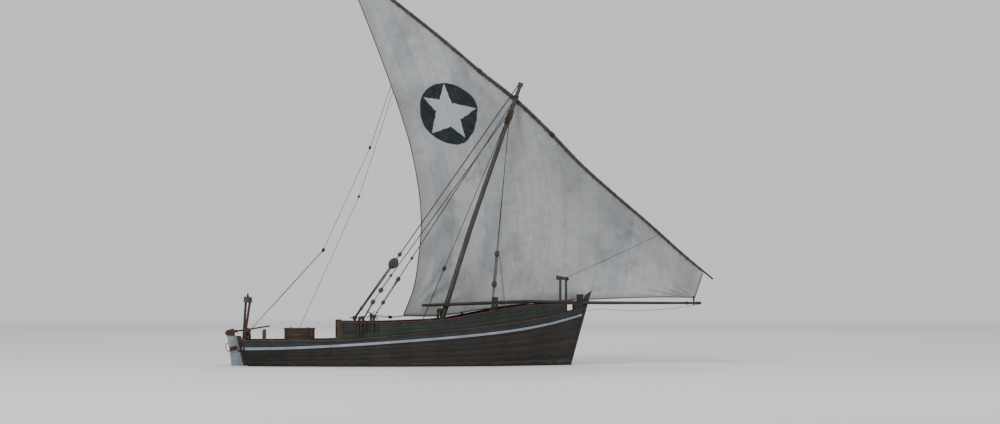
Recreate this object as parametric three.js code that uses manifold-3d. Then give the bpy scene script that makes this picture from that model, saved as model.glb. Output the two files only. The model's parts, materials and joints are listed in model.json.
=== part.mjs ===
// A lateen-rigged wooden dhow, built from separate timbers, spars, ropes and one big sail.
// Millimetres, +X to the bow, +Y to port, +Z up. The origin is amidships on the waterline.
import * as THREE from "three";
import { mergeVertices } from "three/addons/utils/BufferGeometryUtils.js";
import Module from "manifold-3d";

const wasm = await Module();
wasm.setup();

// Driving dimensions of the hull
const GAP = 0.3; // between two pieces that touch
const BACKBONE_HALF = 80; // half the thickness of keel, stem and stern post
const PLANK = 50; // thickness of the hull planking
const KEEL_BOTTOM = -1100;
const KEEL_TOP = -740;
const RABBET_Z = -800; // the lowest plank meets the keel here
const STEM_LEAD_X = 5870; // leading edge of the stem at the waterline
const STEM_RAKE = 0.27; // forward travel of the stem for each unit of height
const STEM_DEPTH = 230; // fore and aft
const STEM_LAP = 110; // plank ends lie this far behind the leading edge
const STEM_HEAD_Z = 2830;
const FOREFOOT_Z = -300; // the stem curves into the keel below this height
const KEEL_FORE_X = 5150;
const STERN_X = -6340; // plank ends at the transom, at the waterline
const STERN_RAKE = -0.23;
const TRANSOM_THICK = 60;
const STERN_POST_DEPTH = 180;
const CAP_THICK = 50;
const BILGE_Z = -450;

// Half-breadths and heights of the hull at a few sections, from the transom to the stem.
const SECTIONS = [
  // along: share of the hull's length. bilge, water, wale, rail: half-breadths.
  // waleZ: middle of the wale. railZ: top of the planking
  { along: 0.0, bilge: 150, water: 700, wale: 1330, rail: 1390, waleZ: 675, railZ: 935 },
  { along: 0.12, bilge: 640, water: 1240, wale: 1590, rail: 1630, waleZ: 700, railZ: 935 },
  { along: 0.3, bilge: 1120, water: 1660, wale: 1890, rail: 1920, waleZ: 808, railZ: 970 },
  { along: 0.5, bilge: 1250, water: 1790, wale: 2010, rail: 2040, waleZ: 980, railZ: 1200 },
  { along: 0.68, bilge: 1060, water: 1600, wale: 1910, rail: 1950, waleZ: 1170, railZ: 1420 },
  { along: 0.82, bilge: 610, water: 1110, wale: 1520, rail: 1600, waleZ: 1387, railZ: 1650 },
  { along: 0.92, bilge: 260, water: 530, wale: 880, rail: 970, waleZ: 1630, railZ: 1885 },
  { along: 1.0, bilge: 128, water: 128, wale: 128, rail: 130, waleZ: 1910, railZ: 2140 },
];
const STATIONS = 25; // columns of the hull's surface, from transom to stem
const WALE_HEIGHT = 90;
const WALE_PROUD = 35;
const ROWS_IN_SPAN = [3, 3, 3, 1, 2]; // rows up to the bilge, the water, the wale's edges and the rail
const WALE_ROW = 9;
const RAIL_ROW = 12;

// Top line of the raised washboard
const WASHBOARD_TOP = [
  { x: -3200, z: 1680 },
  { x: -1600, z: 1665 },
  { x: 0, z: 1715 },
  { x: 1060, z: 1795 },
  { x: 2450, z: 2050 },
  { x: 3510, z: 2225 },
  { x: 4560, z: 2325 },
  { x: 6000, z: 2350 },
];
const WASHBOARD_AFT_X = -2830;
const WASHBOARD_FORE_X = 5610;
const BOW_BOARD_AFT_X = 5960;
const BOW_BOARD_STEP_X = 6118; // the bow board is raised from here on
const WASHBOARD_THICK = 40;
const WASHBOARD_FLARE = 0.12; // outward travel for each unit of height

// Decks and the hold
const AFT_DECK_Z = 720;
const FORE_DECK_Z = 1500;
const HOLD_FLOOR_Z = -290;
const DECK_THICK = 50;
const HOLD_AFT_X = -2900;
const HOLD_FORE_X = 3350;

// Mast, raked forward and slightly bent
const MAST = [
  // z, x: a point of its centre line. r: radius
  { z: -600, x: 228, r: 105 },
  { z: 1500, x: 877, r: 102 },
  { z: 3400, x: 1465, r: 97 },
  { z: 5050, x: 1983, r: 95 },
  { z: 6670, x: 2537, r: 91 },
  { z: 8100, x: 3038, r: 84 },
  { z: 10129, x: 3751, r: 75 },
  { z: 10640, x: 3930, r: 68 },
];
const HOUNDS_Z = 9440;
const SHEAVE_Z = 10680; // in the mast head

// Sail and yard
const TACK = new THREE.Vector3(10610, -130, 2572);
const CLEW = new THREE.Vector3(-490, 950, 1855);
const SLING_BALL = 105;
const SLING_PLACE = 0.6; // place along the yard where it hangs at the mast
const YARD_PATH = [
  // points of the yard's centre line, from the heel to the peak
  { x: 11300, z: 3270 },
  { x: 10090, z: 4267 },
  { x: 8900, z: 5337 },
  { x: 7600, z: 6448 },
  { x: 6300, z: 7603 },
  { x: 5030, z: 8916 },
  { x: 3751, z: 10129 },
  { x: 2400, z: 11206 },
  { x: 1000, z: 12409 },
  { x: -1300, z: 14226 },
  { x: -3600, z: 16050 },
];
const LOWER_POLE = [
  // share: place along the yard. r: radius
  { share: 0, r: 34 },
  { share: 0.1, r: 50 },
  { share: 0.3, r: 58 },
  { share: 0.6, r: 75 },
  { share: 0.74, r: 60 },
];
const UPPER_POLE = [
  { share: 0.44, r: 58 },
  { share: 0.6, r: 75 },
  { share: 0.8, r: 66 },
  { share: 0.9, r: 57 },
  { share: 1, r: 30 },
];

// The big block of the halyard, with its distance down from the mast head
const HOIST_BLOCK = { wide: 330, thick: 200, long: 420, along: 8500 };

// Colours of the finishes
const FINISH = {
  tarred: { color: 0x1d1611, roughness: 0.75, metalness: 0 },
  painted: { color: 0xb4bcc0, roughness: 0.6, metalness: 0 },
  timber: { color: 0x3f2c1e, roughness: 0.8, metalness: 0 },
  deck: { color: 0x5d4a37, roughness: 0.85, metalness: 0 },
  spar: { color: 0x33271d, roughness: 0.7, metalness: 0 },
  canvas: { color: 0x6b6e70, roughness: 0.95, metalness: 0 },
  rope: { color: 0x4a4034, roughness: 0.95, metalness: 0 },
  rudder: { color: 0x6f7984, roughness: 0.7, metalness: 0 },
  iron: { color: 0x2a2624, roughness: 0.6, metalness: 0.6 },
};

const group = new THREE.Group();

// Adds one named piece to the boat.
function add(name, geometry, finish) {
  const shape = geometry.isBufferGeometry ? geometry : toGeometry(geometry);
  shape.computeVertexNormals();
  const mesh = new THREE.Mesh(shape, new THREE.MeshStandardMaterial(FINISH[finish]));
  mesh.name = name;
  group.add(mesh);
  return mesh;
}

// Solids and geometries

function toSolid(geometry) {
  const bare = geometry.clone();
  for (const name of Object.keys(bare.attributes)) {
    if (name !== "position") bare.deleteAttribute(name);
  }
  const merged = mergeVertices(bare, 1e-3);
  return new wasm.Manifold(
    new wasm.Mesh({
      numProp: 3,
      vertProperties: merged.attributes.position.array,
      triVerts: new Uint32Array(merged.index.array),
    }),
  );
}

function toGeometry(solid) {
  const mesh = solid.getMesh();
  const geometry = new THREE.BufferGeometry();
  geometry.setAttribute("position", new THREE.BufferAttribute(mesh.vertProperties, 3));
  geometry.setIndex(new THREE.BufferAttribute(mesh.triVerts, 1));
  return geometry;
}

// The largest separate body of a solid.
function mainBody(solid) {
  const bodies = solid.decompose();
  return bodies.reduce((best, body) => (body.volume() > best.volume() ? body : best));
}

// A copy of a solid, larger by the gap on every side of its box.
function grown(solid, gap) {
  const geometry = toGeometry(solid);
  geometry.computeBoundingBox();
  const size = geometry.boundingBox.getSize(new THREE.Vector3());
  const centre = geometry.boundingBox.getCenter(new THREE.Vector3());
  geometry.translate(-centre.x, -centre.y, -centre.z);
  geometry.scale(1 + (2 * gap) / size.x, 1 + (2 * gap) / size.y, 1 + (2 * gap) / size.z);
  geometry.translate(centre.x, centre.y, centre.z);
  return toSolid(geometry);
}

// A solid cut back from its neighbours, which leaves the gap between them.
function seated(solid, neighbours, gap = GAP) {
  return mainBody(neighbours.reduce((rest, other) => rest.subtract(grown(other, gap)), solid));
}

function block(x0, x1, y0, y1, z0, z1) {
  const box = new THREE.BoxGeometry(x1 - x0, y1 - y0, z1 - z0);
  box.translate((x0 + x1) / 2, (y0 + y1) / 2, (z0 + z1) / 2);
  return box;
}

// A plate in the XZ plane with the given outline, from y0 to y1.
function plate(outline, y0, y1) {
  const shape = new THREE.Shape(outline.map(([x, z]) => new THREE.Vector2(x, z)));
  const solid = new THREE.ExtrudeGeometry(shape, { depth: y1 - y0, bevelEnabled: false });
  solid.rotateX(Math.PI / 2);
  solid.translate(0, y1, 0);
  return solid;
}

// The signed volume of an indexed geometry.
function volumeOf(position, index) {
  const a = new THREE.Vector3();
  const b = new THREE.Vector3();
  const c = new THREE.Vector3();
  let sum = 0;
  for (let i = 0; i < index.length; i += 3) {
    a.fromArray(position, 3 * index[i]);
    b.fromArray(position, 3 * index[i + 1]);
    c.fromArray(position, 3 * index[i + 2]);
    sum += a.dot(b.cross(c)) / 6;
  }
  return sum;
}

function facingOut(position, index) {
  if (volumeOf(position, index) < 0) {
    for (let i = 0; i < index.length; i += 3) {
      [index[i + 1], index[i + 2]] = [index[i + 2], index[i + 1]];
    }
  }
  const geometry = new THREE.BufferGeometry();
  geometry.setAttribute("position", new THREE.Float32BufferAttribute(position, 3));
  geometry.setIndex(index);
  return geometry;
}

// A closed wall between an outer and an inner sheet, each a grid of points with the same columns and rows.
function wall(outer, inner) {
  const columns = outer.length;
  const rows = outer[0].length;
  const position = [...outer.flat(), ...inner.flat()].flatMap((p) => p.toArray());
  const at = (sheet, i, j) => sheet * columns * rows + i * rows + j;
  const index = [];
  const quad = (a, b, c, d) => index.push(a, b, c, a, c, d);
  for (let i = 0; i < columns - 1; i += 1) {
    for (let j = 0; j < rows - 1; j += 1) {
      quad(at(0, i, j), at(0, i + 1, j), at(0, i + 1, j + 1), at(0, i, j + 1));
      quad(at(1, i, j), at(1, i, j + 1), at(1, i + 1, j + 1), at(1, i + 1, j));
    }
    quad(at(0, i + 1, 0), at(0, i, 0), at(1, i, 0), at(1, i + 1, 0));
    quad(at(0, i, rows - 1), at(0, i + 1, rows - 1), at(1, i + 1, rows - 1), at(1, i, rows - 1));
  }
  for (let j = 0; j < rows - 1; j += 1) {
    quad(at(0, 0, j), at(0, 0, j + 1), at(1, 0, j + 1), at(1, 0, j));
    quad(at(0, columns - 1, j + 1), at(0, columns - 1, j), at(1, columns - 1, j), at(1, columns - 1, j + 1));
  }
  return facingOut(position, index);
}

// A round spar or rope through the points, with a radius at each of them.
function spar(points, radii, sides = 12) {
  const rings = points.map((point, i) => {
    const ahead = points[Math.min(i + 1, points.length - 1)];
    const behind = points[Math.max(i - 1, 0)];
    const along = ahead.clone().sub(behind).normalize();
    const side = new THREE.Vector3(0, 1, 0).addScaledVector(along, -along.y).normalize();
    const other = along.clone().cross(side);
    return Array.from({ length: sides }, (_, k) => {
      const turn = (2 * Math.PI * k) / sides;
      return point
        .clone()
        .addScaledVector(side, radii[i] * Math.cos(turn))
        .addScaledVector(other, radii[i] * Math.sin(turn));
    });
  });
  const position = rings.flat().flatMap((p) => p.toArray());
  const index = [];
  for (let i = 0; i < rings.length - 1; i += 1) {
    for (let k = 0; k < sides; k += 1) {
      const next = (k + 1) % sides;
      const [a, b] = [i * sides + k, i * sides + next];
      index.push(a, b, b + sides, a, b + sides, a + sides);
    }
  }
  const last = (rings.length - 1) * sides;
  for (let k = 1; k < sides - 1; k += 1) {
    index.push(0, k + 1, k);
    index.push(last, last + k, last + k + 1);
  }
  return facingOut(position, index);
}

const vec = (x, y, z) => new THREE.Vector3(x, y, z);
const mix = (a, b, share) => a + (b - a) * share;

// Smooth value of a table's column at a place between its rows.
function fair(table, place, column, at) {
  const last = table.length - 1;
  let i = 0;
  while (i < last - 1 && at > table[i + 1][place]) i += 1;
  const slope = (k) => {
    const low = table[Math.max(k - 1, 0)];
    const high = table[Math.min(k + 1, last)];
    return (high[column] - low[column]) / (high[place] - low[place]);
  };
  const span = table[i + 1][place] - table[i][place];
  const s = Math.min(Math.max((at - table[i][place]) / span, 0), 1);
  const [s2, s3] = [s * s, s * s * s];
  return (
    (2 * s3 - 3 * s2 + 1) * table[i][column] +
    (s3 - 2 * s2 + s) * span * slope(i) +
    (3 * s2 - 2 * s3) * table[i + 1][column] +
    (s3 - s2) * span * slope(i + 1)
  );
}

// The hull's lines

const stemLead = (z) => {
  if (z >= FOREFOOT_Z) return STEM_LEAD_X + STEM_RAKE * z;
  const top = STEM_LEAD_X + STEM_RAKE * FOREFOOT_Z;
  const drop = Math.min((FOREFOOT_Z - z) / (FOREFOOT_Z - KEEL_BOTTOM), 1);
  return top - (top - KEEL_FORE_X) * (1 - Math.sqrt(1 - drop * drop));
};
const plankStemX = (z) => stemLead(z) - STEM_LAP;
const plankSternX = (z) => STERN_X + STERN_RAKE * z;

// Height and half-breadth of the outer planking: one column of points for each station.
function sectionAt(along) {
  const value = (column) => fair(SECTIONS, "along", column, along);
  const waleZ = value("waleZ");
  const curve = new THREE.CatmullRomCurve3(
    [
      vec(0, BACKBONE_HALF + GAP, RABBET_Z),
      vec(0, value("bilge"), BILGE_Z),
      vec(0, value("water"), 0),
      vec(0, value("wale") - 8, waleZ - WALE_HEIGHT / 2),
      vec(0, value("wale"), waleZ + WALE_HEIGHT / 2),
      vec(0, value("rail"), value("railZ")),
    ],
    false,
    "centripetal",
  );
  const places = [0];
  ROWS_IN_SPAN.forEach((count, span) => {
    for (let k = 1; k <= count; k += 1) places.push((span + k / count) / ROWS_IN_SPAN.length);
  });
  return places.map((place) => {
    const point = curve.getPoint(place);
    const tangent = curve.getTangent(place);
    return { y: point.y, z: point.z, ty: tangent.y, tz: tangent.z };
  });
}

const sections = Array.from({ length: STATIONS }, (_, i) => sectionAt(i / (STATIONS - 1)));

// A point on the port planking at a station and row, which may lie between two of them, moved out by an offset.
function hullPoint(station, row, offset) {
  const i = Math.min(Math.floor(station), STATIONS - 2);
  const j = Math.min(Math.floor(row), RAIL_ROW - 1);
  const blend = (key) =>
    mix(
      mix(sections[i][j][key], sections[i][j + 1][key], row - j),
      mix(sections[i + 1][j][key], sections[i + 1][j + 1][key], row - j),
      station - i,
    );
  const z = blend("z") - blend("ty") * offset;
  const y = Math.max(blend("y") + blend("tz") * offset, BACKBONE_HALF + GAP);
  const x = mix(plankSternX(z), plankStemX(z), station / (STATIONS - 1));
  return vec(x, y, z);
}

// The station, as a number between 0 and the last, that lies at x along the rail.
function stationAt(x) {
  let low = 0;
  let high = STATIONS - 1;
  for (let step = 0; step < 40; step += 1) {
    const middle = (low + high) / 2;
    if (hullPoint(middle, RAIL_ROW, 0).x < x) low = middle;
    else high = middle;
  }
  return (low + high) / 2;
}

const range = (count) => Array.from({ length: count }, (_, i) => i);
const mirrored = (geometry) => {
  const position = Array.from(geometry.attributes.position.array);
  for (let i = 1; i < position.length; i += 3) position[i] = -position[i];
  return facingOut(position, Array.from(geometry.index.array));
};

// Adds a port piece and its starboard twin.
function addPair(name, port, finish) {
  add(name + "_port", port, finish);
  add(name + "_starboard", mirrored(port), finish);
}

// Backbone: keel, stem and stern post

const transomAft = (z) => plankSternX(z) - TRANSOM_THICK - GAP;
const postAft = (z) => transomAft(z) - GAP - STERN_POST_DEPTH;

function keel() {
  const outline = [
    [postAft(KEEL_BOTTOM), KEEL_BOTTOM],
    [KEEL_FORE_X, KEEL_BOTTOM],
    [KEEL_FORE_X, KEEL_TOP],
    [postAft(KEEL_TOP), KEEL_TOP],
  ];
  return plate(outline, -BACKBONE_HALF, BACKBONE_HALF);
}

function stemPost() {
  const forefoot = range(8).map((k) => {
    const z = mix(KEEL_BOTTOM, FOREFOOT_Z, k / 8);
    return [Math.max(stemLead(z), KEEL_FORE_X + GAP), z];
  });
  const outline = [
    ...forefoot,
    [stemLead(FOREFOOT_Z), FOREFOOT_Z],
    [stemLead(STEM_HEAD_Z) + 20, STEM_HEAD_Z],
    [stemLead(STEM_HEAD_Z) - STEM_DEPTH, STEM_HEAD_Z - 180],
    [stemLead(FOREFOOT_Z) - STEM_DEPTH, FOREFOOT_Z],
    [KEEL_FORE_X + GAP, KEEL_TOP],
  ];
  return plate(outline, -BACKBONE_HALF, BACKBONE_HALF);
}

const POST_TOP_Z = 1130;

function sternPostOutline(extra = 0) {
  const low = KEEL_TOP + GAP;
  return [
    [transomAft(low) - GAP, low],
    [transomAft(POST_TOP_Z) - GAP, POST_TOP_Z],
    [postAft(POST_TOP_Z) - extra, POST_TOP_Z],
    [postAft(low) - extra, low],
  ];
}

function sternPost() {
  return plate(sternPostOutline(), -BACKBONE_HALF, BACKBONE_HALF);
}

// Transom: the first section's outline up to the taffrail, as a board on the plank ends
const RAIL_AFT_Z = SECTIONS[0].railZ;
const TAFFRAIL_Z = RAIL_AFT_Z + CAP_THICK;
const TAFFRAIL_THICK = 50;

function transom() {
  const side = sections[0].map(({ y, z }) => [y, z]);
  const corner = [side[RAIL_ROW][0], TAFFRAIL_Z - GAP];
  const port = [[BACKBONE_HALF, KEEL_TOP + 10], ...side.filter(([, z]) => z > KEEL_TOP + 10), corner];
  const outline = [...port, ...port.map(([y, z]) => [-y, z]).reverse()];
  const face = (shift) => outline.map(([y, z]) => vec(plankSternX(z) - shift, y, z));
  const [fore, aft] = [face(GAP), face(GAP + TRANSOM_THICK - GAP)];
  const triangles = THREE.ShapeUtils.triangulateShape(
    outline.map(([y, z]) => new THREE.Vector2(y, z)),
    [],
  );
  const count = outline.length;
  const index = [];
  for (const [a, b, c] of triangles) index.push(a, b, c, count + a, count + c, count + b);
  for (let k = 0; k < count; k += 1) {
    const next = (k + 1) % count;
    index.push(k, count + k, count + next, k, count + next, next);
  }
  return facingOut([...fore, ...aft].flatMap((p) => p.toArray()), index);
}

// Taffrail: a plank on the transom and the ends of the cap rails, notched round the stern post
function taffrail() {
  const plank = block(-6660, -6460, -1400, 1400, TAFFRAIL_Z, TAFFRAIL_Z + TAFFRAIL_THICK);
  const half = BACKBONE_HALF + GAP;
  const notch = block(-6700, transomAft(TAFFRAIL_Z), -half, half, TAFFRAIL_Z - 50, TAFFRAIL_Z + 100);
  return toSolid(plank).subtract(toSolid(notch));
}

// Planking: one side as a wall of plank thickness
function planking() {
  const sheet = (offset) => range(STATIONS).map((i) => range(RAIL_ROW + 1).map((j) => hullPoint(i, j, offset)));
  const inner = sheet(-PLANK);
  inner.forEach((column, i) => {
    const edge = hullPoint(i, RAIL_ROW, 0);
    column[RAIL_ROW].set(edge.x, column[RAIL_ROW].y, edge.z);
  });
  return wall(sheet(0), inner);
}

// The pale wale along the hull, standing proud of the planking
function wale() {
  const rows = [WALE_ROW, WALE_ROW + 1];
  const sheet = (offset) => range(STATIONS).map((i) => rows.map((row) => hullPoint(i, row, offset)));
  return wall(sheet(WALE_PROUD), sheet(GAP));
}

// A board that stands on the rail: cap, washboard or bow board
function railBoard({ aftX, foreX, bottom, top, outside, inside }) {
  const [from, to] = [stationAt(aftX), stationAt(foreX)];
  const between = range(STATIONS).filter((i) => i > from + 0.1 && i < to - 0.1);
  const stations = [from, ...between, to];
  const sheet = (reach) =>
    stations.map((station) => {
      const foot = hullPoint(station, RAIL_ROW, 0);
      return [bottom(foot), top(foot)].map((z) => {
        const flare = Math.max(z - foot.z - CAP_THICK, 0) * WASHBOARD_FLARE;
        const y = Math.max(foot.y + flare + reach, BACKBONE_HALF + GAP);
        return vec(foot.x, y, z);
      });
    });
  return wall(sheet(outside), sheet(-inside));
}

const capTop = (foot) => foot.z + CAP_THICK;
const topLine = (x) => fair(WASHBOARD_TOP, "x", "z", x);
const railEndX = hullPoint(STATIONS - 1, RAIL_ROW, 0).x;
const WASHBOARD_RAIL = 45;

function capRail() {
  return railBoard({
    aftX: plankSternX(RAIL_AFT_Z) + 2,
    foreX: railEndX,
    bottom: (foot) => foot.z + GAP,
    top: (foot) => capTop(foot) - GAP,
    outside: 45,
    inside: PLANK + 25,
  });
}

function washboard() {
  return railBoard({
    aftX: WASHBOARD_AFT_X,
    foreX: WASHBOARD_FORE_X,
    bottom: capTop,
    top: (foot) => topLine(foot.x) - WASHBOARD_RAIL,
    outside: 0,
    inside: WASHBOARD_THICK,
  });
}

function washboardRail() {
  return railBoard({
    aftX: WASHBOARD_AFT_X,
    foreX: BOW_BOARD_STEP_X - GAP,
    bottom: (foot) => topLine(foot.x) - WASHBOARD_RAIL + GAP,
    top: (foot) => topLine(foot.x),
    outside: 25,
    inside: WASHBOARD_THICK + 25,
  });
}

const BOW_BOARD_Z = 2672;

function bowBoard() {
  const board = railBoard({
    aftX: BOW_BOARD_AFT_X,
    foreX: railEndX - 4,
    bottom: capTop,
    top: (foot) => BOW_BOARD_Z + (foot.x - BOW_BOARD_AFT_X) * 0.06,
    outside: 0,
    inside: WASHBOARD_THICK,
  });
  const low = topLine(BOW_BOARD_AFT_X) - WASHBOARD_RAIL - 1;
  const step = block(BOW_BOARD_AFT_X - 100, BOW_BOARD_STEP_X, -100, 1000, low, 2900);
  return toGeometry(mainBody(toSolid(board).subtract(toSolid(step))));
}

// The broad post at the after end of each washboard
function washboardPost() {
  const foot = hullPoint(stationAt(WASHBOARD_AFT_X - 115), RAIL_ROW, 0);
  return block(
    WASHBOARD_AFT_X - 230,
    WASHBOARD_AFT_X - GAP,
    foot.y - 75,
    foot.y + 30,
    hullPoint(stationAt(WASHBOARD_AFT_X), RAIL_ROW, 0).z + CAP_THICK + GAP,
    topLine(WASHBOARD_AFT_X) + 40,
  );
}

// Pieces between the two sides of the hull

const portPlanks = toSolid(planking());
const starboardPlanks = toSolid(mirrored(planking()));

// A block cut to the inside of the hull, a hair narrower than the space
function betweenSides(x0, x1, z0, z1) {
  const wide = 3000;
  const cut = toSolid(block(x0, x1, -wide, wide, z0, z1))
    .subtract(portPlanks)
    .subtract(starboardPlanks)
    .decompose();
  const centred = cut.filter((body) => {
    const { min, max } = body.boundingBox();
    return min[1] < 0 && max[1] > 0;
  });
  const geometry = toGeometry(centred[0]);
  geometry.computeBoundingBox();
  geometry.scale(1, 1 - GAP / geometry.boundingBox.max.y, 1);
  return geometry;
}

// Mast

// The mast's centre and radius at a height
function mastPlace(z) {
  const above = MAST.findIndex((row) => row.z > z);
  const k = above < 0 ? MAST.length - 2 : Math.max(above - 1, 0);
  const [low, high] = [MAST[k], MAST[k + 1]];
  const share = (z - low.z) / (high.z - low.z);
  return { centre: vec(mix(low.x, high.x, share), 0, z), radius: mix(low.r, high.r, share) };
}

const mastAt = (z) => mastPlace(z).centre;
const mastRadius = (z) => mastPlace(z).radius;

// The round part of the mast, with room around it if extra is given
function mastSpar(extra = 0) {
  return toSolid(
    spar(
      MAST.map(({ z }) => mastAt(z)),
      MAST.map(({ r }) => r + extra),
      16,
    ),
  );
}

// A block set on the mast near its head, leaning with it. Heights run along the mast from the head's foot
function headBlock(x0, x1, y0, y1, z0, z1) {
  const foot = mastAt(10600);
  const ahead = mastAt(10640).sub(foot);
  const shape = block(x0, x1, y0, y1, z0, z1);
  shape.rotateY(Math.atan2(ahead.x, ahead.z));
  return toSolid(shape.translate(foot.x, foot.y, foot.z));
}

// The square mast head, whose slot takes the halyard's sheave
const mastHead = (extra = 0) => headBlock(-100 - extra, 100 + extra, -90 - extra, 90 + extra, -extra, 160 + extra);

function mast() {
  const slot = headBlock(-150, 150, -24, 24, 40, 120);
  return mastSpar().add(mastHead()).subtract(slot);
}

const mastRoom = mastSpar(GAP).add(mastHead(GAP));

// The space of the rope wrapping round the mast that the shrouds hang from
function houndsRoom(extra) {
  const [low, high] = [mastAt(HOUNDS_Z - 280 - extra), mastAt(HOUNDS_Z + 280 + extra)];
  return toSolid(spar([low, high], [130 + extra, 124 + extra], 16));
}

// Bowsprit: the long spar on the starboard side of mast, bitts and stem
const SPRIT_PATH = [
  { x: 180, z: 2275, r: 52 },
  { x: 1180, z: 2310, r: 60 },
  { x: 4100, z: 2415, r: 66 },
  { x: 7000, z: 2365, r: 62 },
  { x: 10860, z: 2355, r: 44 },
];
const spritY = (x) => mix(-(mastRadius(2310) + 60 + GAP), -130, (x - 1180) / (10860 - 1180));

function bowsprit(extra = 0) {
  return spar(
    SPRIT_PATH.map(({ x, z }) => vec(x, spritY(x), z)),
    SPRIT_PATH.map(({ r }) => r + extra),
    12,
  );
}

// Yard and sail

const SLING_X = YARD_PATH[6].x;
const SLING_Y = SLING_BALL + mastRadius(YARD_PATH[6].z) + GAP;
const yardY = (x) => mix(SLING_Y, TACK.y, (x - SLING_X) / (TACK.x - SLING_X));
const yardCurve = new THREE.CatmullRomCurve3(YARD_PATH.map(({ x, z }) => vec(x, yardY(x), z)));
const SLING = yardCurve.getPoint(SLING_PLACE);
const POLE_STEPS = 16;
const SEIZINGS = [0.49, 0.7]; // places along the yard
const SEIZING_THICK = 20;
const SEIZING_LENGTH = 150;
const POLE_GAP = 10; // between the two poles where they lie side by side
const LOWER_END = 0.74; // end of the lower pole along the yard
const UPPER_START = 0.44; // start of the upper pole, which lies on the port side of the lower one

const yardOut = (share) => {
  const along = yardCurve.getTangent(share);
  return vec(0, 1, 0).addScaledVector(along, -along.y).normalize();
};
const lowerRadius = (share) => fair(LOWER_POLE, "share", "r", share);
const upperRadius = (share) => fair(UPPER_POLE, "share", "r", share);

// How far the upper pole's centre line lies off the yard's line
const upperLift = (share) => {
  const over = lowerRadius(Math.min(share, LOWER_END)) + upperRadius(share) + POLE_GAP;
  return over * (1 - THREE.MathUtils.smoothstep(share, LOWER_END + 0.04, LOWER_END + 0.18));
};

function lowerPole(extra = 0) {
  const shares = range(POLE_STEPS + 1).map((k) => (LOWER_END * k) / POLE_STEPS);
  return spar(
    shares.map((share) => yardCurve.getPoint(share)),
    shares.map((share) => lowerRadius(share) + extra),
    12,
  );
}

function upperPole(extra = 0) {
  const shares = range(POLE_STEPS + 1).map((k) => mix(UPPER_START, 1, k / POLE_STEPS));
  return spar(
    shares.map((share) => yardCurve.getPoint(share).addScaledVector(yardOut(share), upperLift(share))),
    shares.map((share) => upperRadius(share) + extra),
    12,
  );
}

const poleRoom = toSolid(lowerPole(GAP)).add(toSolid(upperPole(GAP)));

// The space of a seizing: rope turns round both poles
function seizingRoom(share, extra) {
  const along = yardCurve.getTangent(share);
  const out = yardOut(share);
  const [low, high] = [lowerRadius(share), upperRadius(share)];
  const around = range(20).map((k) => {
    const turn = (2 * Math.PI * k) / 20;
    const upper = Math.cos(turn) > 0;
    const radius = (upper ? high : low) + SEIZING_THICK + extra;
    const reach = upper ? low + high + POLE_GAP : 0;
    return new THREE.Vector2(Math.cos(turn) * radius + reach, Math.sin(turn) * radius);
  });
  const depth = SEIZING_LENGTH + 2 * extra;
  const band = new THREE.ExtrudeGeometry(new THREE.Shape(around), { depth, bevelEnabled: false });
  band.translate(0, 0, -depth / 2);
  const turn = new THREE.Matrix4().makeBasis(out, along.clone().cross(out), along);
  band.applyMatrix4(turn.setPosition(yardCurve.getPoint(share)));
  return toSolid(band);
}

// The space of the ball of rope turns where the yard hangs at the mast, centred on the sail's swing axis
function slingRoom(extra) {
  const ball = new THREE.SphereGeometry(SLING_BALL + extra, 16, 12);
  ball.rotateX(Math.PI / 2);
  ball.translate(SLING.x, SLING.y, SLING.z);
  return toSolid(ball);
}

const SAIL_THICK = 6;
const HEAD_FORE = 0.03; // share of the yard where the head of the sail begins
const HEAD_PEAK = 0.965;
const LEECH = [
  { z: 1855, x: -490 },
  { z: 2910, x: -90 },
  { z: 4000, x: 90 },
  { z: 5300, x: 200 },
  { z: 6800, x: 90 },
  { z: 8870, x: -360 },
  { z: 12120, x: -1530 },
  { z: 15900, x: -3170 },
];
const FOOT = [
  { x: -490, z: 1855 },
  { x: 1000, z: 1865 },
  { x: 2450, z: 2098 },
  { x: 4000, z: 2305 },
  { x: 5200, z: 2415 },
  { x: 6500, z: 2485 },
  { x: 7730, z: 2541 },
  { x: 9200, z: 2580 },
  { x: 10610, z: 2572 },
];

// The sail's four edges: head on the yard, foot, luff and leech. Shares run from luff to leech and from head to foot.
const headEdge = (share) => {
  const place = mix(HEAD_FORE, HEAD_PEAK, share);
  const lift = upperLift(place) * THREE.MathUtils.smoothstep(place, LOWER_END, LOWER_END + 0.03);
  return yardCurve.getPoint(place).addScaledVector(yardOut(place), lift);
};
const footEdge = (share) => {
  const x = mix(TACK.x, CLEW.x, share);
  return vec(x, mix(TACK.y, CLEW.y, share) + 250 * Math.sin(Math.PI * share), fair(FOOT, "x", "z", x));
};
const luffEdge = (share) => headEdge(0).lerp(TACK, share);
const leechEdge = (share) => {
  const peak = headEdge(1);
  const z = mix(peak.z, CLEW.z, share);
  const y = mix(peak.y, CLEW.y, share) + 150 * Math.sin(Math.PI * share);
  const x = fair(LEECH, "z", "x", z) + (peak.x - fair(LEECH, "z", "x", peak.z)) * (1 - share) ** 6;
  return vec(x, y, z);
};

function sailPoint(across, down, shift) {
  const point = vec(0, 0, 0)
    .addScaledVector(headEdge(across), 1 - down)
    .addScaledVector(footEdge(across), down)
    .addScaledVector(luffEdge(down), 1 - across)
    .addScaledVector(leechEdge(down), across)
    .addScaledVector(headEdge(0), -(1 - across) * (1 - down))
    .addScaledVector(headEdge(1), -across * (1 - down))
    .addScaledVector(TACK, -(1 - across) * down)
    .addScaledVector(CLEW, -across * down);
  point.y += 520 * Math.sin(Math.PI * across) * Math.sin(Math.PI * Math.min(down * 1.05, 1)) + shift;
  return point;
}

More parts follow.
